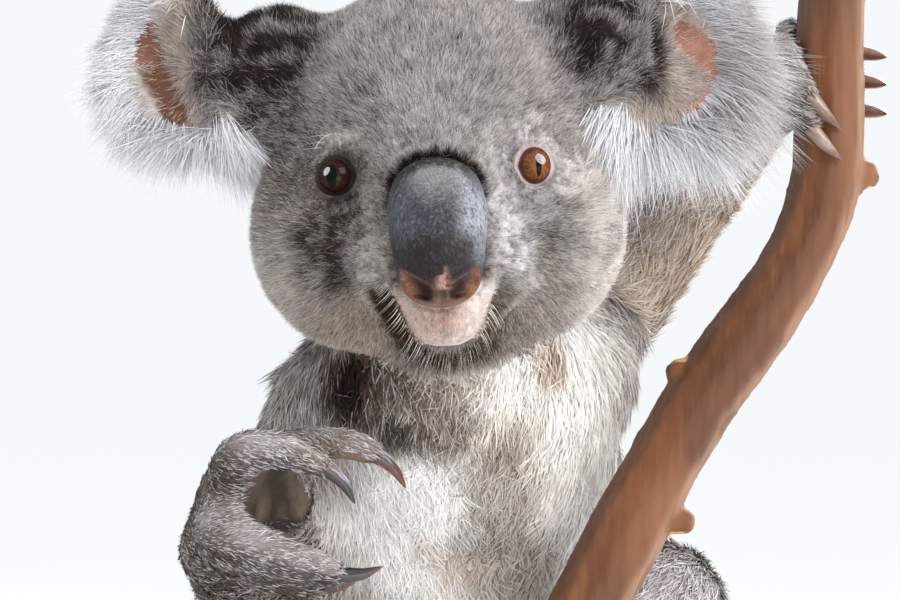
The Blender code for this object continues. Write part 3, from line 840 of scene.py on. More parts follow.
def make_skin():
    mesh = flesh_mesh()
    points, normals = points_of(mesh), normals_of(mesh)
    edges = edges_of(mesh)
    region = nearest_part(points)
    depth = coat_numbers(points, region, edges)[:, 1] * MM + SEAM
    points -= spread(normals, edges, 3) * depth[:, None]
    points = spread(points, edges, 3)
    move_points(mesh, points)
    h = on_head(points)
    face = (h[:, 1] < 34) & (np.abs(h[:, 0]) < 62) & (h[:, 2] > -78) & (h[:, 2] < 26)
    refine(mesh, face | (region == "hand_right"))
    points, normals = points_of(mesh), normals_of(mesh)
    surface = front_surface(mesh)
    h = on_head(points)
    x, y, z = h.T.copy()
    front = y < 26
    # behind the eyes and the pad of the nose
    back = 6.0 * rise(8.2, 6.8, eye_distance(h)) * front
    back += 4.0 * rise(1.0, -2.5, nose_outline(h)) * (y < 10)
    # the line of the mouth, and the groove from the nose down to it
    away = mouth_distance(h)
    groove = 1.6 * bell(away, 1.3) * rise(-44, -52, z) * (y < 12)
    cleft = 0.9 * bell(x, 1.1) * (z < -44) * (z > -62) * (y < 0)
    # folds under and round the eyes
    ring = eye_distance(h)
    folds = 0.5 * (bell(ring - 14.5, 0.8) + 0.8 * bell(ring - 18.5, 0.9))
    folds *= rise(6, -4, z) * front
    h[:, 1] += back
    points = from_head(h) - normals * ((groove + cleft + folds) * MM)[:, None]
    move_points(mesh, points)
    return mesh, surface


def ear_cup_share(points, normals):
    """1 on the bare red skin in the hollow of each ear."""
    near = rise(8.0, 5.5, hollow_distance(on_head(points)))
    return rise(0.0, 0.4, -normals[:, 1]) * near


def dress_skin(mesh):
    """Shows the skin in the coat's markings, with half the triangles that the coat's roots are strewn on."""
    mesh = evaluated(mesh, ("DECIMATE", {"ratio": SHOWN_SHARE}))
    points, normals = points_of(mesh), normals_of(mesh)
    region = nearest_part(points)
    colours = coat_colour(points, normals, region)
    colours *= 0.42 + 0.36 * rise(0.2, 0.6, colours.mean(1))[:, None]
    h = on_head(points)
    _, y, z = h.T
    away = mouth_distance(h)
    on_face = np.isin(region, FACE)
    lip = rise(0.5, -1.5, away) * rise(-42, -50, z) * (y < 10) * on_face
    line = bell(away, 0.9) * rise(-44, -50, z) * (y < 12) * on_face
    in_ear = np.char.startswith(region.astype(str), "ear_") * ear_cup_share(points, normals)
    red = layered(
        EAR_SKIN,
        (rgb(104, 66, 48), rise(0.3, 0.7, noise(points, 9 * MM, 42))),
        (rgb(96, 64, 48), 0.8 * rise(46, 60, z)),
    )
    lumps = noise(points, 9 * MM, 41)
    pads = layered(
        PAD_SKIN,
        (rgb(40, 31, 23), 0.8 * rise(0.45, 0.7, lumps)),
        (rgb(150, 124, 98), 0.4 * rise(0.42, 0.25, lumps)),
    )
    colours = layered(
        colours,
        (rgb(190, 164, 152), 0.85 * lip),
        (rgb(60, 36, 28), 0.85 * line),
        (red, in_ear),
        (pads, bare_share(points, normals, region) * np.isin(region, PAWS)),
    )
    shown("skin", mesh, skin_material(), FLESH, colours)


# ---------------------------------------------------------------- coat


def flow_field(points, region, edges):
    """The lie of the coat at each vertex, before it is laid along the surface."""
    h = on_head(points)
    flow = np.zeros_like(points)
    from_nose = h - np.array((0, -44, -26))
    from_nose[:, 2] += 6
    from_eye = h - np.stack([np.sign(h[:, 0]) * EYE_X, np.full(len(h), 6.0), np.zeros(len(h))], 1)
    on_face = np.isin(region, FACE)
    head_flow = mixed(unit(from_nose), unit(from_eye), rise(17, 9, eye_distance(h))) @ HEAD_AXES.T
    flow[on_face] = head_flow[on_face]
    for part, way in (("neck", (0, 0.15, -1)), ("chest", (0, 0.1, -1)), ("abdomen", (0, 0.1, -1))):
        flow[region == part] = way
    for side, sign in SIDES:
        ear = region == f"ear_{side}"
        from_root = points[ear] - from_head((70 * sign, 46, 40))
        from_middle = points[ear] - middle_of([f"ear_{side}"])
        flow[ear] = unit(unit(from_root) + 0.8 * unit(from_middle) + np.array((0, 0, -0.35)))
        for chain in (("upper_arm", "forearm", "hand"), ("thigh", "shank", "foot")):
            names = [f"{part}_{side}" for part in chain]
            claws = claws_of(names[2])
            ends = [middle_of([name]) for name in names] + [middle_of(claws)]
            for number, name in enumerate(names):
                flow[region == name] = unit((ends[number + 1] - ends[number])[None])[0]
            paw = region == names[2]
            tips = np.array([middle_of([claw]) for claw in claws])
            gap = points[paw][:, None] - tips[None]
            nearest = tips[np.argmin((gap**2).sum(2), axis=1)]
            flow[paw] = unit(flow[paw] + 1.2 * unit(nearest - points[paw]))
    return unit(spread(flow, edges, 14))


class Skin:
    """The skin as arrays, with what the coat needs at each vertex."""

    def __init__(self, mesh):
        edges = edges_of(mesh)
        self.points = points_of(mesh)
        self.normals = unit(spread(normals_of(mesh), edges, 2))
        self.triangles = triangles_of(mesh)
        self.region = nearest_part(self.points)
        self.numbers = coat_numbers(self.points, self.region, edges)
        self.flow = flow_field(self.points, self.region, edges)
        self.bare = bare_share(self.points, self.normals, self.region)
        self.facing = crosses(self.points, self.triangles)
        self.part = self.region[self.triangles[:, 0]]
        self.middles = self.points[self.triangles].mean(1)

    def roots(self, chosen, density, count, rng):
        """count random roots on the chosen triangles, as a dictionary of arrays."""
        weights = np.linalg.norm(self.facing, axis=1) / 2 * chosen * density
        picked = np.sort(rng.choice(len(weights), count, p=weights / weights.sum()))
        a, b = rng.random((2, count))
        flip = a + b > 1
        a[flip], b[flip] = 1 - a[flip], 1 - b[flip]
        shares = np.stack([1 - a - b, a, b], 1)
        corners = self.triangles[picked]

        def between(values):
            return (values[corners] * shares[..., None]).sum(1)

        return {
            "points": between(self.points),
            "normals": unit(between(self.normals)),
            "flow": between(self.flow),
            "numbers": between(self.numbers),
            "region": self.part[picked],
        }


def unwrapped(roots):
    """A place from 0 to 1 on an unwrap of the skin for each root: every part is unrolled round its own
    longer axis, and the parts lie side by side."""
    points, region = roots["points"], roots["region"]
    names = sorted(set(region))
    uv = np.zeros((len(points), 2))
    for column, name in enumerate(names):
        mask = region == name
        own = points[mask] - middle_of([name])
        if kind(name) in (*FACE, *TRUNK, "ear"):
            axis = np.array((0, 0, 1.0))
        else:
            axis = np.linalg.svd(own - own.mean(0), full_matrices=False)[2][0]
        side = np.cross(axis, (0, 1, 0.01))
        side /= np.linalg.norm(side)
        turn = np.arctan2(own @ side, -own @ np.cross(side, axis))
        for index, values in enumerate((turn, own @ axis)):
            low, high = values.min(), values.max()
            share = 0.02 + 0.96 * (values - low) / max(high - low, 1e-9)
            uv[mask, index] = (column + share) / len(names) if index == 0 else share
    return uv


def across(vectors, normals):
    """The part of each vector that lies along the surface."""
    return vectors - normals * (vectors * normals).sum(1, keepdims=True)


def blades(name, roots, look, material, nodes=()):
    """One mesh of tapered, bent tufts, one at each root.

    look holds: length and width as factors, lift in degrees, droop, clump size in mm and its pull,
    steps along a tuft, the colours at the root, and how many tips are frosted."""
    rng = np.random.default_rng(look["seed"])
    points, normals = roots["points"], roots["normals"]
    count = len(points)
    flow = across(unit(roots["flow"]), normals) + rng.normal(0, look["stray"], (count, 3))
    flow = unit(across(unit(flow), normals))
    length = roots["numbers"][:, 0] * MM * look["length"] * rng.uniform(0.7, 1.25, count)
    width = roots["numbers"][:, 2] * MM * look["width"] * rng.uniform(0.75, 1.25, count)
    lift = np.radians(look["lift"]) * rng.uniform(0.6, 1.4, count)
    way, shared = clump(points / MM, look["clump"], look["seed"])
    way = across(way, normals) / look["clump"] * 0.9
    ahead = flow * np.cos(lift)[:, None] + normals * np.sin(lift)[:, None]
    side = unit(np.cross(ahead, normals))
    twist = rng.normal(0, 0.5, count)[:, None]
    side = side * np.cos(twist) + np.cross(ahead, side) * np.sin(twist)
    bend = way * look["pull"] - normals * look["droop"] + np.array((0, 0, -1)) * look["hang"]
    root, tip = blade_colours(look["colour"](roots), look, shared, rng)
    steps = look["steps"]
    rows, tints, uvs = [], [], []
    for step in range(steps + 1):
        share = step / steps
        place = points - normals * ROOT_DEPTH * MM + ahead * (length * share)[:, None]
        place = place + bend * (length * share**2)[:, None]
        half = width * (0.5 if step < steps else 0) * (1 - 0.35 * share)
        for sign in (-1, 1) if step < steps else (0,):
            rows.append(place + side * (half * sign)[:, None])
            tints.append(mixed(root, tip, share**0.6))
            uvs.append((sign, share))
    pattern = []
    for first in range(0, 2 * steps - 2, 2):
        pattern += [(first, first + 1, first + 3), (first, first + 3, first + 2)]
    pattern.append((2 * steps - 2, 2 * steps - 1, 2 * steps))
    triangles = (np.arange(count)[:, None, None] * len(rows) + np.array(pattern)[None]).reshape(-1, 3)
    mesh = mesh_of(name, np.stack(rows, 1).reshape(-1, 3), triangles)
    add_colours(mesh, np.stack(tints, 1).reshape(-1, 3))
    patch = np.array(uvs) * (PATCH / 2, PATCH) - (0, PATCH / 2)
    corner_uv = (unwrapped(roots)[:, None] + patch[None]).reshape(-1, 2)[triangles.ravel()]
    layer = mesh.uv_layers.new(name="OFBake")
    layer.data.foreach_set("uv", np.clip(corner_uv, 0, 1).astype(np.float32).ravel())
    shown(name, mesh, material, nodes)


def blade_colours(base, look, shared, rng):
    """The colours at the root and at the tip of each tuft: some are dark, and some have a frosted tip."""
    count = len(base)
    brightness = base.mean(1)
    frosted = rng.random(count) < look["frost"] * rise(0.015, 0.16, brightness)
    level = rng.uniform(0.8, 1.15, count) * (1 + look["vary"] * (shared - 0.5))
    pale = rise(0.2, 0.6, brightness)
    level = np.where(rng.random(count) < look["dark"] * (1 - 0.85 * pale), level * 0.5, level)
    body = base * level[:, None]
    root = body * (look["root_shade"] + (0.95 - look["root_shade"]) * pale)[:, None]
    tip = np.where(frosted[:, None], mixed(body, WHITE, PALE_STEP), body * 0.95)
    return root, tip


def single_hairs(name, points, normals, flow, length, width, changes):
    """Fine hairs on the head that don't grow on the skin but on a mesh of their own."""
    count = len(points)
    roots = {
        "points": points,
        "normals": normals,
        "flow": flow,
        "numbers": np.tile((length, 0, width), (count, 1)),
        "region": np.array(["head"] * count),
    }
    blades(name, roots, {**LOOK, **changes}, coat_material())


def painted(roots):
    return coat_colour(roots["points"], roots["normals"], roots["region"])


LOOK = {
    "length": 1.0,
    "width": 1.0,
    "lift": 30,
    "droop": 0.22,
    "hang": 0.0,
    "clump": 5.0,
    "pull": 0.35,
    "stray": 0.3,
    "steps": 2,
    "root_shade": 0.5,
    "frost": 0.45,
    "dark": 0.1,
    "vary": 0.3,
    "colour": painted,
    "slot": "coat",
}


FACE_LOOK = {
    "clump": 2.2,
    "pull": 0.4,
    "lift": 28,
    "width": 0.72,
    "steps": 1,
    "dark": 0.24,
    "vary": 0.65,
}
BROW_LOOK = {**FACE_LOOK, "clump": 1.8, "dark": 0.5, "vary": 1.2, "frost": 0.6}
BODY_LOOK = {"clump": 8.0, "pull": 0.4, "lift": 24, "frost": 0.4, "width": 0.7, "vary": 0.2}
PALE_LOOK = {
    **BODY_LOOK,
    "frost": 0.8,
    "dark": 0.02,
    "root_shade": 0.8,
    "vary": 0.08,
    "lift": 18,
    "width": 0.6,
}
PAW_LOOK = {"lift": 20, "clump": 3.0, "dark": 0.08, "root_shade": 0.7, "vary": 0.15, "stray": 0.2}
EAR_LOOK = {"clump": 6.0, "length": 1.3, "steps": 1, "width": 0.7}
LOCK_LOOK = {
    "lift": 24,
    "hang": 0.2,
    "droop": 0.1,
    "clump": 9.0,
    "pull": 0.4,
    "stray": 0.12,
    "root_shade": 0.85,
    "frost": 0.8,
    "dark": 0.02,
    "vary": 0.1,
    "slot": "pale_coat",
}


def grow_coat(skin):
    """All the fur that covers the skin, in pieces by part of the body."""
    material = coat_material()
    h = on_head(skin.middles)
    head = np.isin(skin.part, FACE)
    front = head & (h[:, 1] < 42)
    on_right, on_brow = h[:, 0] < 0, h[:, 2] >= 0
    dressed = np.where(skin.bare[skin.triangles].max(1) < 0.5, 1.0, 0.0)
    near_face = 1 + 2.2 * rise(70, 25, np.linalg.norm(h - np.array((0, -10, -28)), axis=1))
    body_front = skin.middles[:, 1] < 40 * MM
    chest, abdomen = skin.part == "chest", skin.part == "abdomen"
    back_look = {**BODY_LOOK, "width": 0.95}
    # name, triangles of the skin that it grows on, how many tufts, how it looks
    pieces = [
        ("coat_brow_right", front & on_right & on_brow, 100000, BROW_LOOK),
        ("coat_brow_left", front & ~on_right & on_brow, 100000, BROW_LOOK),
        ("coat_cheek_right", front & on_right & ~on_brow, 112000, FACE_LOOK),
        ("coat_cheek_left", front & ~on_right & ~on_brow, 112000, FACE_LOOK),
        ("coat_nape", head & ~front, 30000, {**BODY_LOOK, "clump": 6.0, "width": 1.4}),
        ("coat_neck", skin.part == "neck", 24000, BODY_LOOK),
        ("coat_breast", chest & body_front, 56000, PALE_LOOK),
        ("coat_shoulders", chest & ~body_front, 18000, back_look),
        ("coat_belly", abdomen & body_front, 26000, PALE_LOOK),
        ("coat_back", abdomen & ~body_front, 26000, back_look),
    ]
    for side, _ in SIDES:
        for name, parts, count, changes in (
            ("ear", ("ear",), 24000, EAR_LOOK),
            ("arm", ("upper_arm", "forearm"), 22000, BODY_LOOK),
            ("leg", ("thigh", "shank"), 18500, BODY_LOOK),
            ("hand", ("hand",), 8000 if side == "left" else 18000, PAW_LOOK),
            ("foot", ("foot",), 7000, PAW_LOOK),
        ):
            chosen = np.isin(skin.part, [f"{part}_{side}" for part in parts])
            pieces.append((f"coat_{name}_{side}", chosen, count, changes))
    for number, (name, chosen, count, changes) in enumerate(pieces):
        density = dressed * (near_face if name.startswith(("coat_brow", "coat_cheek")) else 1)
        if name.startswith("coat_ear"):
            density = density * (1 - 0.95 * (ear_cup_share(skin.middles, unit(skin.facing)) > 0.5))
        roots = skin.roots(chosen, density, int(count * COUNT_SHARE), np.random.default_rng(100 + number))
        look = {**LOOK, **changes, "seed": 200 + number}
        blades(name, roots, {**look, "width": look["width"] * WIDER}, material)


def ear_locks(skin):
    """The long pale locks on the rim of each ear and below it. They stand for the fringe solids."""
    material = coat_material()
    h = on_head(skin.middles)
    for side, sign in SIDES:
        ear = f"ear_{side}"
        low, high = on_head(np.array(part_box(ear)))
        middle = (low + high) / 2
        outward = np.abs(h[:, 0]) - np.abs(middle[0])
        rim = np.hypot(outward / 24, (h[:, 2] - middle[2]) / 28)
        hanging = rise(middle[2] - 8, low[2] + 8, h[:, 2])
        density = rise(0.75, 1.0, rim) * np.maximum(rise(-8, 4, outward), 0.8 * hanging)
        rng = np.random.default_rng(300 + sign)
        roots = skin.roots(skin.part == ear, density + 1e-6, int(17000 * COUNT_SHARE), rng)
        away = unit(roots["points"] - middle_of([ear]))
        way = np.array((0.5 * sign, -0.15, -0.5))
        roots["flow"] = unit(away + way + rng.normal(0, 0.16, away.shape))
        drop = rise(70, 30, on_head(roots["points"])[:, 2])
        length = 16 + 14 * drop + rng.uniform(-5, 4, len(away))
        roots["numbers"][:, 0] = length * (1 if sign > 0 else 0.72)
        roots["numbers"][:, 2] = 0.34
        look = {**LOOK, **LOCK_LOOK, "seed": 310 + sign, "colour": lock_colour, "width": WIDER}
        blades(f"ear_locks_{side}", roots, look, material, [f"ear_fringe_{side}"])


def lock_colour(roots):
    """Whitish locks, with greyer and browner ones on the outer side of the left ear."""
    h = on_head(roots["points"])
    outer = rise(100, 116, h[:, 0])
    brown = outer * rise(44, 24, h[:, 2]) * rise(0.35, 0.6, noise(h, 6, 51))
    return layered(
        rgb(222, 222, 228),
        (rgb(190, 190, 198), 0.7 * noise(h, 9, 52)),
        (rgb(156, 148, 150), 0.8 * outer),
        (rgb(120, 96, 82), 0.8 * brown),
    )


# ---------------------------------------------------------------- nose


def catmull(rows, per_span):
    """Rows of numbers along a smooth curve through the given rows."""
    rows = [np.array(row, float) for row in rows]
    ends = [2 * rows[0] - rows[1], *rows, 2 * rows[-1] - rows[-2]]
    line = []
    for a, b, c, d in zip(ends, ends[1:], ends[2:], ends[3:]):
        for step in range(per_span):
            t = step / per_span
            bend = (2 * a - 5 * b + 4 * c - d) * t**2 + (3 * b - a - 3 * c + d) * t**3
            line.append(0.5 * (2 * b + (c - a) * t + bend))
    return [*line, rows[-1]]


NOSTRIL = (8.2, -43.6)  # x and height of a nostril's middle, in the head's millimetres


def nostril_inside(h):
    """How far inside a nostril's rim each place is, in mm. The upper edge climbs outwards."""
    x = np.abs(h[:, 0]) - NOSTRIL[0]
    z = h[:, 2] - NOSTRIL[1]
    edges = np.stack([4.0 + 0.62 * x - z, z + 4.7 - 0.12 * x, 6.2 - x, x + 6.6 + 0.2 * z])
    sharp = 1.1  # how sharply the four edges meet
    return -np.log(np.exp(-sharp * edges).sum(0)) / sharp


def make_nose():
    bm = bmesh.new()
    line = catmull([(*middle, *radii) for middle, radii in NOSE_STATIONS], 5)
    for x, y, z, *radii in line:
        place = Matrix.Translation(HEAD @ (Vector((x, y, z)) * MM)) @ HEAD.to_3x3().to_4x4()
        grown = [(radius + 0.5) * MM for radius in radii]
        bmesh.ops.create_icosphere(bm, subdivisions=4, radius=1, matrix=place @ Matrix.Diagonal((*grown, 1)))
    mesh = remeshed(mesh_from(bm, "nose"), 0.55 * MM, 22)
    h = on_head(points_of(mesh))
    inside = nostril_inside(h)
    x, y, z = h.T.copy()
    front = rise(-20, -32, y)
    # a soft fold over the nostrils, their rims, their hollows and the notch that parts them from below
    y += 0.8 * bell(z + 34 - 0.02 * x**2, 2.2) * front
    y -= 0.9 * bell(inside + 0.8, 1.1) * front
    hollow = 0.6 + 0.4 * rise(4, -4, np.abs(x) - NOSTRIL[0])
    y += 6.5 * rise(0.0, 3.0, inside) * hollow * front
    y += 1.8 * bell(x, 1.3) * rise(-42, -49, z) * front
    move_points(mesh, from_head(np.stack([x, y, z], 1)))
    mesh = evaluated(mesh, ("SMOOTH", {"factor": 0.5, "iterations": 2}))
    shown("nose_pad", mesh, nose_material(), ["nose"], nose_colour(on_head(points_of(mesh))))
    nose_hairs(mesh)


def nose_colour(h):
    """Slate blue above, black-brown below, with tawny nostrils and a pink mark between them; a painted
    highlight on the left flank, painted shade on the right flank and deep in the nostrils.
    """
    x, y, z = h.T
    aside = np.abs(x)
    outline = nose_outline(h)
    inside = nostril_inside(h)
    front = rise(-14, -26, y)
    above_nostrils = rise(-42, -30, z)
    speckled = h * (1, 1, 0.55)
    upper_edge = rise(-4.2, -1.8, outline + 2.0 * (noise(h, 1.2, 65) - 0.5))
    below = rise(-46, -49, z) * front
    lower_rim = rise(-1.6, -0.4, outline) * rise(-44, -50, z) * front
    # deep: how far into a nostril's hollow each place is, where painted shade darkens it
    deep = rise(3.0, -1.6, aside - NOSTRIL[0] - 0.45 * (z - NOSTRIL[1]))
    tawny = layered(
        rgb(142, 96, 72),
        (rgb(84, 48, 36), 0.8 * noise(h, 2.2, 63)),
        # painted shade deep in the nostril's hollow
        (rgb(34, 18, 14), 0.95 * deep * rise(-0.3, 0.9, inside)),
    )
    mark = bell(x - 0.9, 1.5 + 0.2 * (-38 - z).clip(0, 6))
    mark *= rise(-35.5, -37.5, z) * rise(-45.5, -43.5, z) * front
    cleft = bell(x, 2.0) * rise(-44.5, -46, z) * front
    return layered(
        rgb(60, 62, 68),
        (rgb(150, 149, 150), 0.85 * rise(-19, -3, z - 0.3 * aside)),
        # painted highlight on the left flank, then painted shade on the right flank
        (rgb(172, 177, 188), 0.9 * rise(4, 13, x) * above_nostrils),
        (rgb(84, 87, 98), 0.75 * rise(-4, -13, x) * above_nostrils),
        # the black-brown lower half, kept paler on the left flank as painted light
        (rgb(30, 23, 18), 0.97 * rise(-21, -30, z) * (1 - 0.6 * rise(9, 16, x))),
        (BLACK, 0.9 * upper_edge * rise(-16, 0, z)),
        (rgb(176, 178, 184), 0.22 * rise(0.58, 0.8, noise(speckled, 0.75, 62)) * rise(-42, -12, z)),
        (rgb(36, 34, 38), 0.6 * rise(0.55, 0.8, noise(speckled, 0.7, 64)) * rise(-1, -12, z)),
        (rgb(78, 58, 48), 0.85 * below),
        (rgb(158, 124, 110), 0.6 * lower_rim),
        (rgb(180, 118, 98), 0.7 * below * bell(x, 2.5)),
        (tawny, rise(-0.5, 0.5, inside) * front),
        (rgb(188, 142, 130), 0.9 * mark * rise(0.25, 0.4, noise(h, 2.4, 61))),
        (rgb(98, 90, 74), 0.7 * cleft),
    )


def nose_hairs(mesh):
    """Fine pale hairs, thinly strewn over the pad, that point up it."""
    rng = np.random.default_rng(71)
    points, count = points_of(mesh), 4200
    h = on_head(points)
    weights = rise(-34, -14, h[:, 2]) * rise(-6, -14, h[:, 1]) + 0.03
    picked = rng.choice(len(points), count, p=weights / weights.sum())
    upward = np.tile(HEAD_AXES[:, 2], (count, 1))
    look = {
        "seed": 72,
        "lift": 16,
        "clump": 2.0,
        "pull": 0.0,
        "stray": 0.6,
        "frost": 1.0,
        "dark": 0.3,
        "root_shade": 0.8,
        "colour": lambda roots: np.tile(rgb(166, 168, 174), (count, 1)),
        "slot": "bare_skin",
    }
    single_hairs("nose_hairs", points[picked], normals_of(mesh)[picked], upward, 1.2, 0.12, look)


# ---------------------------------------------------------------- eyes


def eye_frame(name, side):
    """The eye's middle and its axes: it looks forwards and a little outwards."""
    turn = HEAD.to_3x3().to_4x4() @ Matrix.Rotation(math.radians(9) * side, 4, "Z")
    return Matrix.Translation(centre(name)) @ turn


def make_eye(name, side):
    """An eyeball with a bulging cornea over a brown iris and an upright slit pupil."""
    rings, around = 90, 120
    polar = np.linspace(0.003, math.pi * 0.72, rings)[:, None]
    turn = np.linspace(0, 2 * math.pi, around, endpoint=False)[None, :]
    radius = EYE_RADIUS * (1 + 0.055 * np.exp(-((polar / 0.62) ** 4)))
    x = radius * np.sin(polar) * np.cos(turn)
    z = radius * np.sin(polar) * np.sin(turn)
    y = -radius * np.cos(polar) * np.ones_like(turn)
    local = np.stack([x, y, z], -1).reshape(-1, 3)
    matrix = np.array(eye_frame(name, side))
    points = (local * MM) @ matrix[:3, :3].T + matrix[:3, 3]
    mesh = mesh_of(name, points, grid_faces(rings, around, True)[:, ::-1])
    x, y, z = local.T
    reach, angle = np.hypot(x, z), np.arctan2(z, x)
    fibres = np.stack([np.cos(angle) * 9, np.sin(angle) * 9, reach * 0.35], 1)
    streaks = 0.55 * noise(fibres, 0.7, 81) + 0.45 * noise(fibres, 0.25, 82)
    dull, bright, limbus, half = rgb(78, 43, 26), rgb(124, 76, 46), 6.0, 1.05
    # The right eye's iris is darker than the left's, partly as painted shade, and its pupil is wider.
    if side < 0:
        dull, bright, limbus, half = rgb(28, 16, 12), rgb(50, 31, 25), 5.6, 2.1
    slit = np.sqrt((x / half) ** 2 + (z / 4.2) ** 2)
    colours = layered(
        dull,
        (bright, rise(0.25, 0.8, streaks)),
        (bright * 1.2, 0.4 * rise(3.8, 2.2, reach)),
        (rgb(30, 16, 11), rise(limbus - 0.9, limbus + 0.5, reach)),
        (rgb(6, 4, 4), rise(1.12, 0.92, slit) * (y < 0)),
    )
    return shown(f"{name}_ball", mesh, eye_material(), [name], colours)


def lid_opening(turn, side):
    """How far the lids stand from the eye's middle in each direction: round, with a small inner corner."""
    inner = math.pi if side > 0 else 0.0
    off = np.angle(np.exp(1j * (turn - inner)))
    wide, high = (5.7, 6.7) if side > 0 else (6.5, 7.1)
    radius = wide * high / np.hypot(high * np.cos(turn), wide * np.sin(turn))
    return radius + 0.4 * bell(off, 0.25)


def lid_out(h, side):
    """Distance in mm outwards from the edge of the lids."""
    x, z = h[:, 0] - EYE_X * side, h[:, 2]
    return np.hypot(x, z) - lid_opening(np.arctan2(z, x), side)


def lid_colour(h, side):
    """A dark edge, then a bare rim, then the coat's colour: pale on the left eye, and dark brown on the
    right, partly as painted shade.
    """
    out = lid_out(h, side)
    edge, rim, coat = rgb(70, 42, 36), rgb(180, 164, 164), rgb(168, 154, 152)
    # The right eye's darker edge, rim and coat: partly painted shade.
    if side < 0:
        edge, rim, coat = rgb(18, 11, 10), rgb(46, 34, 32), rgb(84, 68, 62)
    return layered(edge, (rim, rise(0.1, 0.35, out)), (coat, rise(0.9, 1.7, out)))


def make_lids(name, side, surface):
    """The thin edges of the lids, as one ring that rests on the eye and runs into the skin."""
    around = 144
    turn = np.linspace(0, 2 * math.pi, around, endpoint=False)
    opening = lid_opening(turn, side)
    rows = []
    for out in (-0.9, -0.35, -0.1, 0.1, 0.35, 0.7, 1.1, 1.6, 2.2, 2.9, 3.6):
        reach = opening + out
        x = EYE_X * side + reach * np.cos(turn)
        z = reach * np.sin(turn)
        ball = EYE_DEPTH - np.sqrt(np.maximum(EYE_RADIUS**2 - reach**2, 6.0))
        skin = np.array([surface(px, pz) for px, pz in zip(x, z)])
        share = rise(0.2, 2.4, out)
        edge = ball - 0.1 - 0.65 * rise(-0.4, 0.35, out)
        y = edge * (1 - share) + (skin - 0.35) * share + 1.4 * rise(2.6, 3.6, out)
        rows.append(np.stack([x, y, z], 1))
    mesh = mesh_of(name, from_head(np.concatenate(rows)), grid_faces(len(rows), around, True))
    mesh = evaluated(mesh, ("SUBSURF", {"levels": 1, "render_levels": 1}))
    colours = lid_colour(on_head(points_of(mesh)), side)
    shown(name, mesh, skin_material(), colours=colours)
    lid_hairs(name, mesh, side)


def lid_hairs(name, mesh, side):
    """Very short hairs that start just outside the lids' edge and point away from the eye."""
    rng = np.random.default_rng(75 + side)
    points, triangles, count = points_of(mesh), triangles_of(mesh), 4500
    out = lid_out(on_head(points[triangles].mean(1)), side)
    areas = np.linalg.norm(crosses(points, triangles), axis=1)
    weights = areas * rise(0.35 if side < 0 else 0.8, 1.1, out) * (out < 3.2)
    picked = triangles[rng.choice(len(weights), count, p=weights / weights.sum())]
    shares = rng.dirichlet((1, 1, 1), count)[..., None]
    places = (points[picked] * shares).sum(1)
    forward = unit((normals_of(mesh)[picked] * shares).sum(1))
    forward *= -np.sign(forward[:, 1:2])
    away = unit(on_head(places) - np.array((EYE_X * side, 3.0, 0.0))) @ HEAD_AXES.T
    look = {"seed": 76 + side, "lift": 38, "droop": 0.05, "clump": 2.0, "pull": 0.2, "steps": 1}
    single_hairs(f"{name}_hairs", places, forward, away, 1.8, 0.22, look)


def front_surface(mesh):
    """A function that gives the depth of the skin behind a place on the face, in the head's mm."""
    points, triangles = points_of(mesh), triangles_of(mesh)
    h = on_head(points)
    tree = BVHTree.FromPolygons([Vector(p) for p in h], triangles.tolist())

    def depth(x, z):
        hit = tree.ray_cast(Vector((x, -120, z)), Vector((0, 1, 0)))[0]
        return hit.y if hit else 20.0

    return depth


# ---------------------------------------------------------------- whiskers and brows


def strands(name, lines, widths, colour):
    """Thin round hairs, each along a line of points, as one mesh."""
    around = 5
    vertices, faces = [], []
    start = 0
    for line, width in zip(lines, widths):
        line = np.array(line)
        ahead = unit(np.gradient(line, axis=0))
        side = unit(np.cross(ahead, (0.3, 0.2, 0.93)))
        up = np.cross(side, ahead)
        rows = len(line)
        taper = width * (1 - 0.88 * np.linspace(0, 1, rows)) / 2
        for step in range(around):
            turn = 2 * math.pi * step / around
            vertices.append(line + (side * math.cos(turn) + up * math.sin(turn)) * taper[:, None])
        block = np.arange(rows * around).reshape(around, rows).T
        faces.append(block.ravel()[grid_faces(rows, around, True)] + start)
        start += rows * around
    mesh = mesh_of(name, np.concatenate(vertices), np.concatenate(faces))
    shown(name, mesh, coat_material(), colours=np.tile(colour, (start, 1)))


def whiskers(surface):
    """Dark whiskers beside the nose, pale brow hairs over each eye and white hairs round the chin."""
    rng = np.random.default_rng(91)
    dark, pale = [], []
    for _, side in SIDES:
        for row in range(4):
            for column in range(4):
                x = side * (20 + 3.6 * column + rng.uniform(-1, 1))
                z = -28 - 5.0 * row + rng.uniform(-1.4, 1.4)
                reach = rng.uniform(10, 19)
                way = np.array((side * 0.85, 0.1 * column - 0.35, 0.15 - 0.22 * row + rng.uniform(-0.1, 0.1)))
                dark.append(whisker(x, z, surface, way, reach, 0.25))
    for x, z, reach in ((-38, 15.5, 11), (-40, 13, 9), (-41, 11, 8)):
        pale.append(whisker(x, z, surface, np.array((-0.95, -0.3, 0.1)), reach, -0.4))
    pale.append(brow_arch(surface))
    for _ in range(110):
        x = rng.uniform(-19, 19)
        z = mouth_curve(np.array([x]))[0] - rng.uniform(0.5, 3.5)
        way = np.array((x / 26, -0.35, -0.9))
        pale.append(whisker(x, z, surface, way, rng.uniform(4, 9), 0.35))
    for lines, name, colour, thick in (
        (dark, "whiskers", rgb(60, 48, 42), 0.14),
        (pale, "pale_whiskers", rgb(240, 234, 226), 0.18),
    ):
        widths = rng.uniform(0.8, 1.2, len(lines)) * thick * MM
        strands(name, lines, widths, colour)


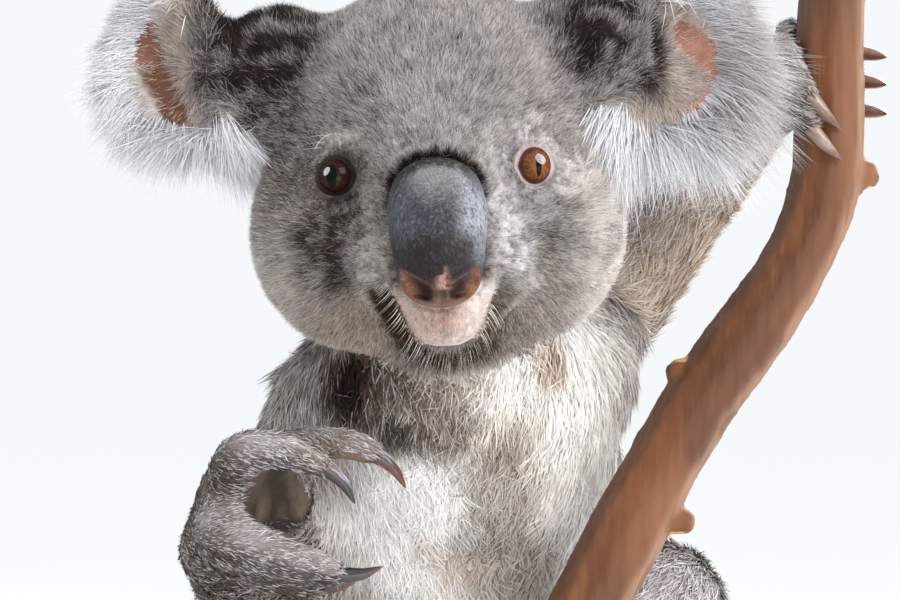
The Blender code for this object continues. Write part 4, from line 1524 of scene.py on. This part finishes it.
def brow_arch(surface):
    """Points along the one long white hair that arches over the right eye."""
    turn = np.linspace(math.radians(150), math.radians(38), 13)
    x = -EYE_X + 8.5 * np.cos(turn)
    z = 6.0 + 9.5 * np.sin(turn)
    y = np.array([surface(px, pz) for px, pz in zip(x, z)]) - 2.5 - 4.0 * np.sin(np.linspace(0, math.pi, 13))
    return from_head(np.stack([x, y, z], 1))


def whisker(x, z, surface, way, reach, curl):
    """Points in metres along a bent hair that starts on the face at (x, z)."""
    start = np.array((x, surface(x, z) + 1.0, z))
    share = np.linspace(0, 1, 9)[:, None]
    sideways = np.array((way[2], 0.2, -way[0]))
    line = start + way * reach * share + sideways * curl * reach * share**2 * 0.5
    return from_head(line)


# ---------------------------------------------------------------- claws, branch and stand


def make_claws():
    """Each claw's solid, rounded off: black, with a painted bluish white highlight along the top, and reddish
    at the tip and below.
    """
    material = claw_material()
    for limb in PAWS:
        root, grip = middle_of([limb]), grip_middle(limb)
        body, painted_highlight = rgb(38, 34, 36), rgb(186, 194, 212)
        if limb == "hand_left":
            body, painted_highlight = rgb(150, 128, 116), rgb(176, 160, 152)
        for name in claws_of(limb):
            mesh = evaluated(
                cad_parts[name].data.copy(),
                ("WELD", {"merge_threshold": 0.00002}),
                ("SUBSURF", {"levels": 2, "render_levels": 2}),
            )
            points, normals = points_of(mesh), normals_of(mesh)
            far = np.linalg.norm(points - root, axis=1)
            share = (far - far.min()) / (far.max() - far.min())
            upper = 0.6 * (normals * unit(points - grip)).sum(1) + 0.5 * normals[:, 2]
            colours = layered(
                body,
                (rgb(92, 44, 28), 0.8 * rise(0.75, 1.0, share)),
                (rgb(120, 58, 32), 0.8 * rise(-0.1, -0.75, upper) * rise(0.1, 0.4, share)),
                # painted highlight along the top
                (painted_highlight, 0.9 * rise(0.5, 0.85, upper) * rise(1.0, 0.85, share)),
            )
            shown(f"{name}_horn", mesh, material, [name], colours)


def make_branch():
    """The branch's solid, rounded, with bark ridges, scars and sawn ends, and painted light and shade on its
    two sides.
    """
    mesh = remeshed(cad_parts["branch"].data.copy(), 1.6 * MM, 9)
    points, normals = points_of(mesh), normals_of(mesh)
    p = points / MM
    stretched = p * (1, 1, 0.22)
    ridges = noise(stretched, 4, 101) - 0.5 + 0.6 * (noise(stretched, 1.6, 102) - 0.5)
    lumps = noise(p, 30, 103) - 0.5
    ends = np.abs(normals[:, 2]) > 0.8
    height = (0.8 * ridges + 1.6 * lumps) * ~ends
    move_points(mesh, points + normals * (height * MM + 0.5 * MM)[:, None])
    rings = np.abs(np.sin(np.hypot(p[:, 0] - p[ends][:, 0].mean(), p[:, 1]) * 1.6))
    wood = mixed(rgb(214, 176, 128), rgb(168, 122, 78), 0.5 * rings)
    bark = layered(
        rgb(122, 76, 44),
        (rgb(92, 55, 31), rise(0.35, 0.7, noise(p * (1, 1, 0.3), 22, 104))),
        # painted light on the side that faces +x, then painted shade on the side that faces -x
        (rgb(158, 126, 104), 0.7 * rise(0.2, 0.95, normals[:, 0])),
        (rgb(96, 68, 52), 0.7 * rise(-0.2, -0.95, normals[:, 0])),
        (rgb(84, 48, 30), 0.45 * rise(0.62, 0.8, noise(stretched, 7, 105))),
    )
    shown("bark", mesh, bark_material(), ["branch"], np.where(ends[:, None], wood, bark))


def paint_stand():
    material = stand_material()
    for name in ("stand_base", "stand_rod_front", "stand_rod_rear"):
        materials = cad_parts[name].data.materials
        materials.clear()
        materials.append(material)


# ---------------------------------------------------------------- studio


def lamp(name, place, shines, size, power, colour):
    """A square panel at this place that shines this way. The camera doesn't see it."""
    light = bpy.data.lights.new(name, "AREA")
    light.energy = power
    light.size = size
    light.color = colour
    panel = placed(name, light)
    panel.location = place
    panel.rotation_euler = shines.to_track_quat("-Z", "Y").to_euler()
    panel.visible_camera = False
    return panel


def make_studio():
    bm = bmesh.new()
    bmesh.ops.create_circle(bm, cap_ends=True, segments=64, radius=9)
    floor = placed("floor", mesh_from(bm, "floor"))
    floor.location.z = -0.0005
    nodes = Nodes("studio_floor", roughness=1.0, specular=0.0)
    floor.data.materials.append(nodes.colour((0.998, 0.998, 0.998, 1)))

    world = bpy.data.worlds.new("studio")
    bpy.context.scene.world = world
    world.use_nodes = True
    background = world.node_tree.nodes["Background"]
    background.inputs["Color"].default_value = (0.92, 0.945, 0.965, 1)
    background.inputs["Strength"].default_value = 1.0

    aim = Vector((0, -0.05, 0.48))
    # name, place, side of the panel, power, colour
    for name, place, size, power, colour in (
        ("key", (1.15, -1.2, 1.5), 1.1, 30, (1.0, 0.97, 0.93)),
        ("back", (0.9, 1.2, 1.3), 0.8, 26, (1.0, 0.99, 0.97)),
        ("left", (-1.3, -0.5, 0.9), 0.9, 3, (0.9, 0.95, 1.0)),
        ("low", (0.35, -1.25, 0.12), 0.8, 6, (1.0, 0.99, 0.98)),
    ):
        lamp(name, place, aim - Vector(place), size, power, colour)


def catch_light(eyeball, way, size, power):
    """A soft window that only this eye mirrors, as a bright patch above its pupil."""
    middle = sum((Vector(corner) for corner in eyeball.bound_box), Vector()) / 8
    name = f"window_on_{eyeball.name}"
    window = lamp(name, middle + Vector(way), -Vector(way), size, power, (0.93, 0.94, 1.0))
    window.data.shape = "ELLIPSE"
    window.data.size_y = size * 1.25
    window.visible_diffuse = False
    only = bpy.data.collections.new(name)
    only.objects.link(eyeball)
    window.light_linking.receiver_collection = only


def make_camera():
    data = bpy.data.cameras.new("camera")
    data.sensor_width = 36
    data.lens = 92
    camera = placed("camera", data)
    camera.location = (0, -0.980, 0.500)
    camera.rotation_euler = (math.radians(90), 0, 0)
    bpy.context.scene.camera = camera
    bpy.context.scene.view_settings.view_transform = "Standard"


def main():
    skin_mesh, surface = make_skin()
    balls = {}
    for name, side in SIDES:
        balls[name] = make_eye(f"eye_{name}", side)
        make_lids(f"lids_{name}", side, surface)
    dress_skin(skin_mesh)
    skin = Skin(skin_mesh)
    grow_coat(skin)
    ear_locks(skin)
    make_nose()
    whiskers(surface)
    make_claws()
    make_branch()
    paint_stand()
    make_studio()
    catch_light(balls["left"], (0.47, -0.60, 0.62), 1.0, 190)
    catch_light(balls["right"], (-0.73, -0.53, 0.43), 0.65, 85)
    make_camera()


main()
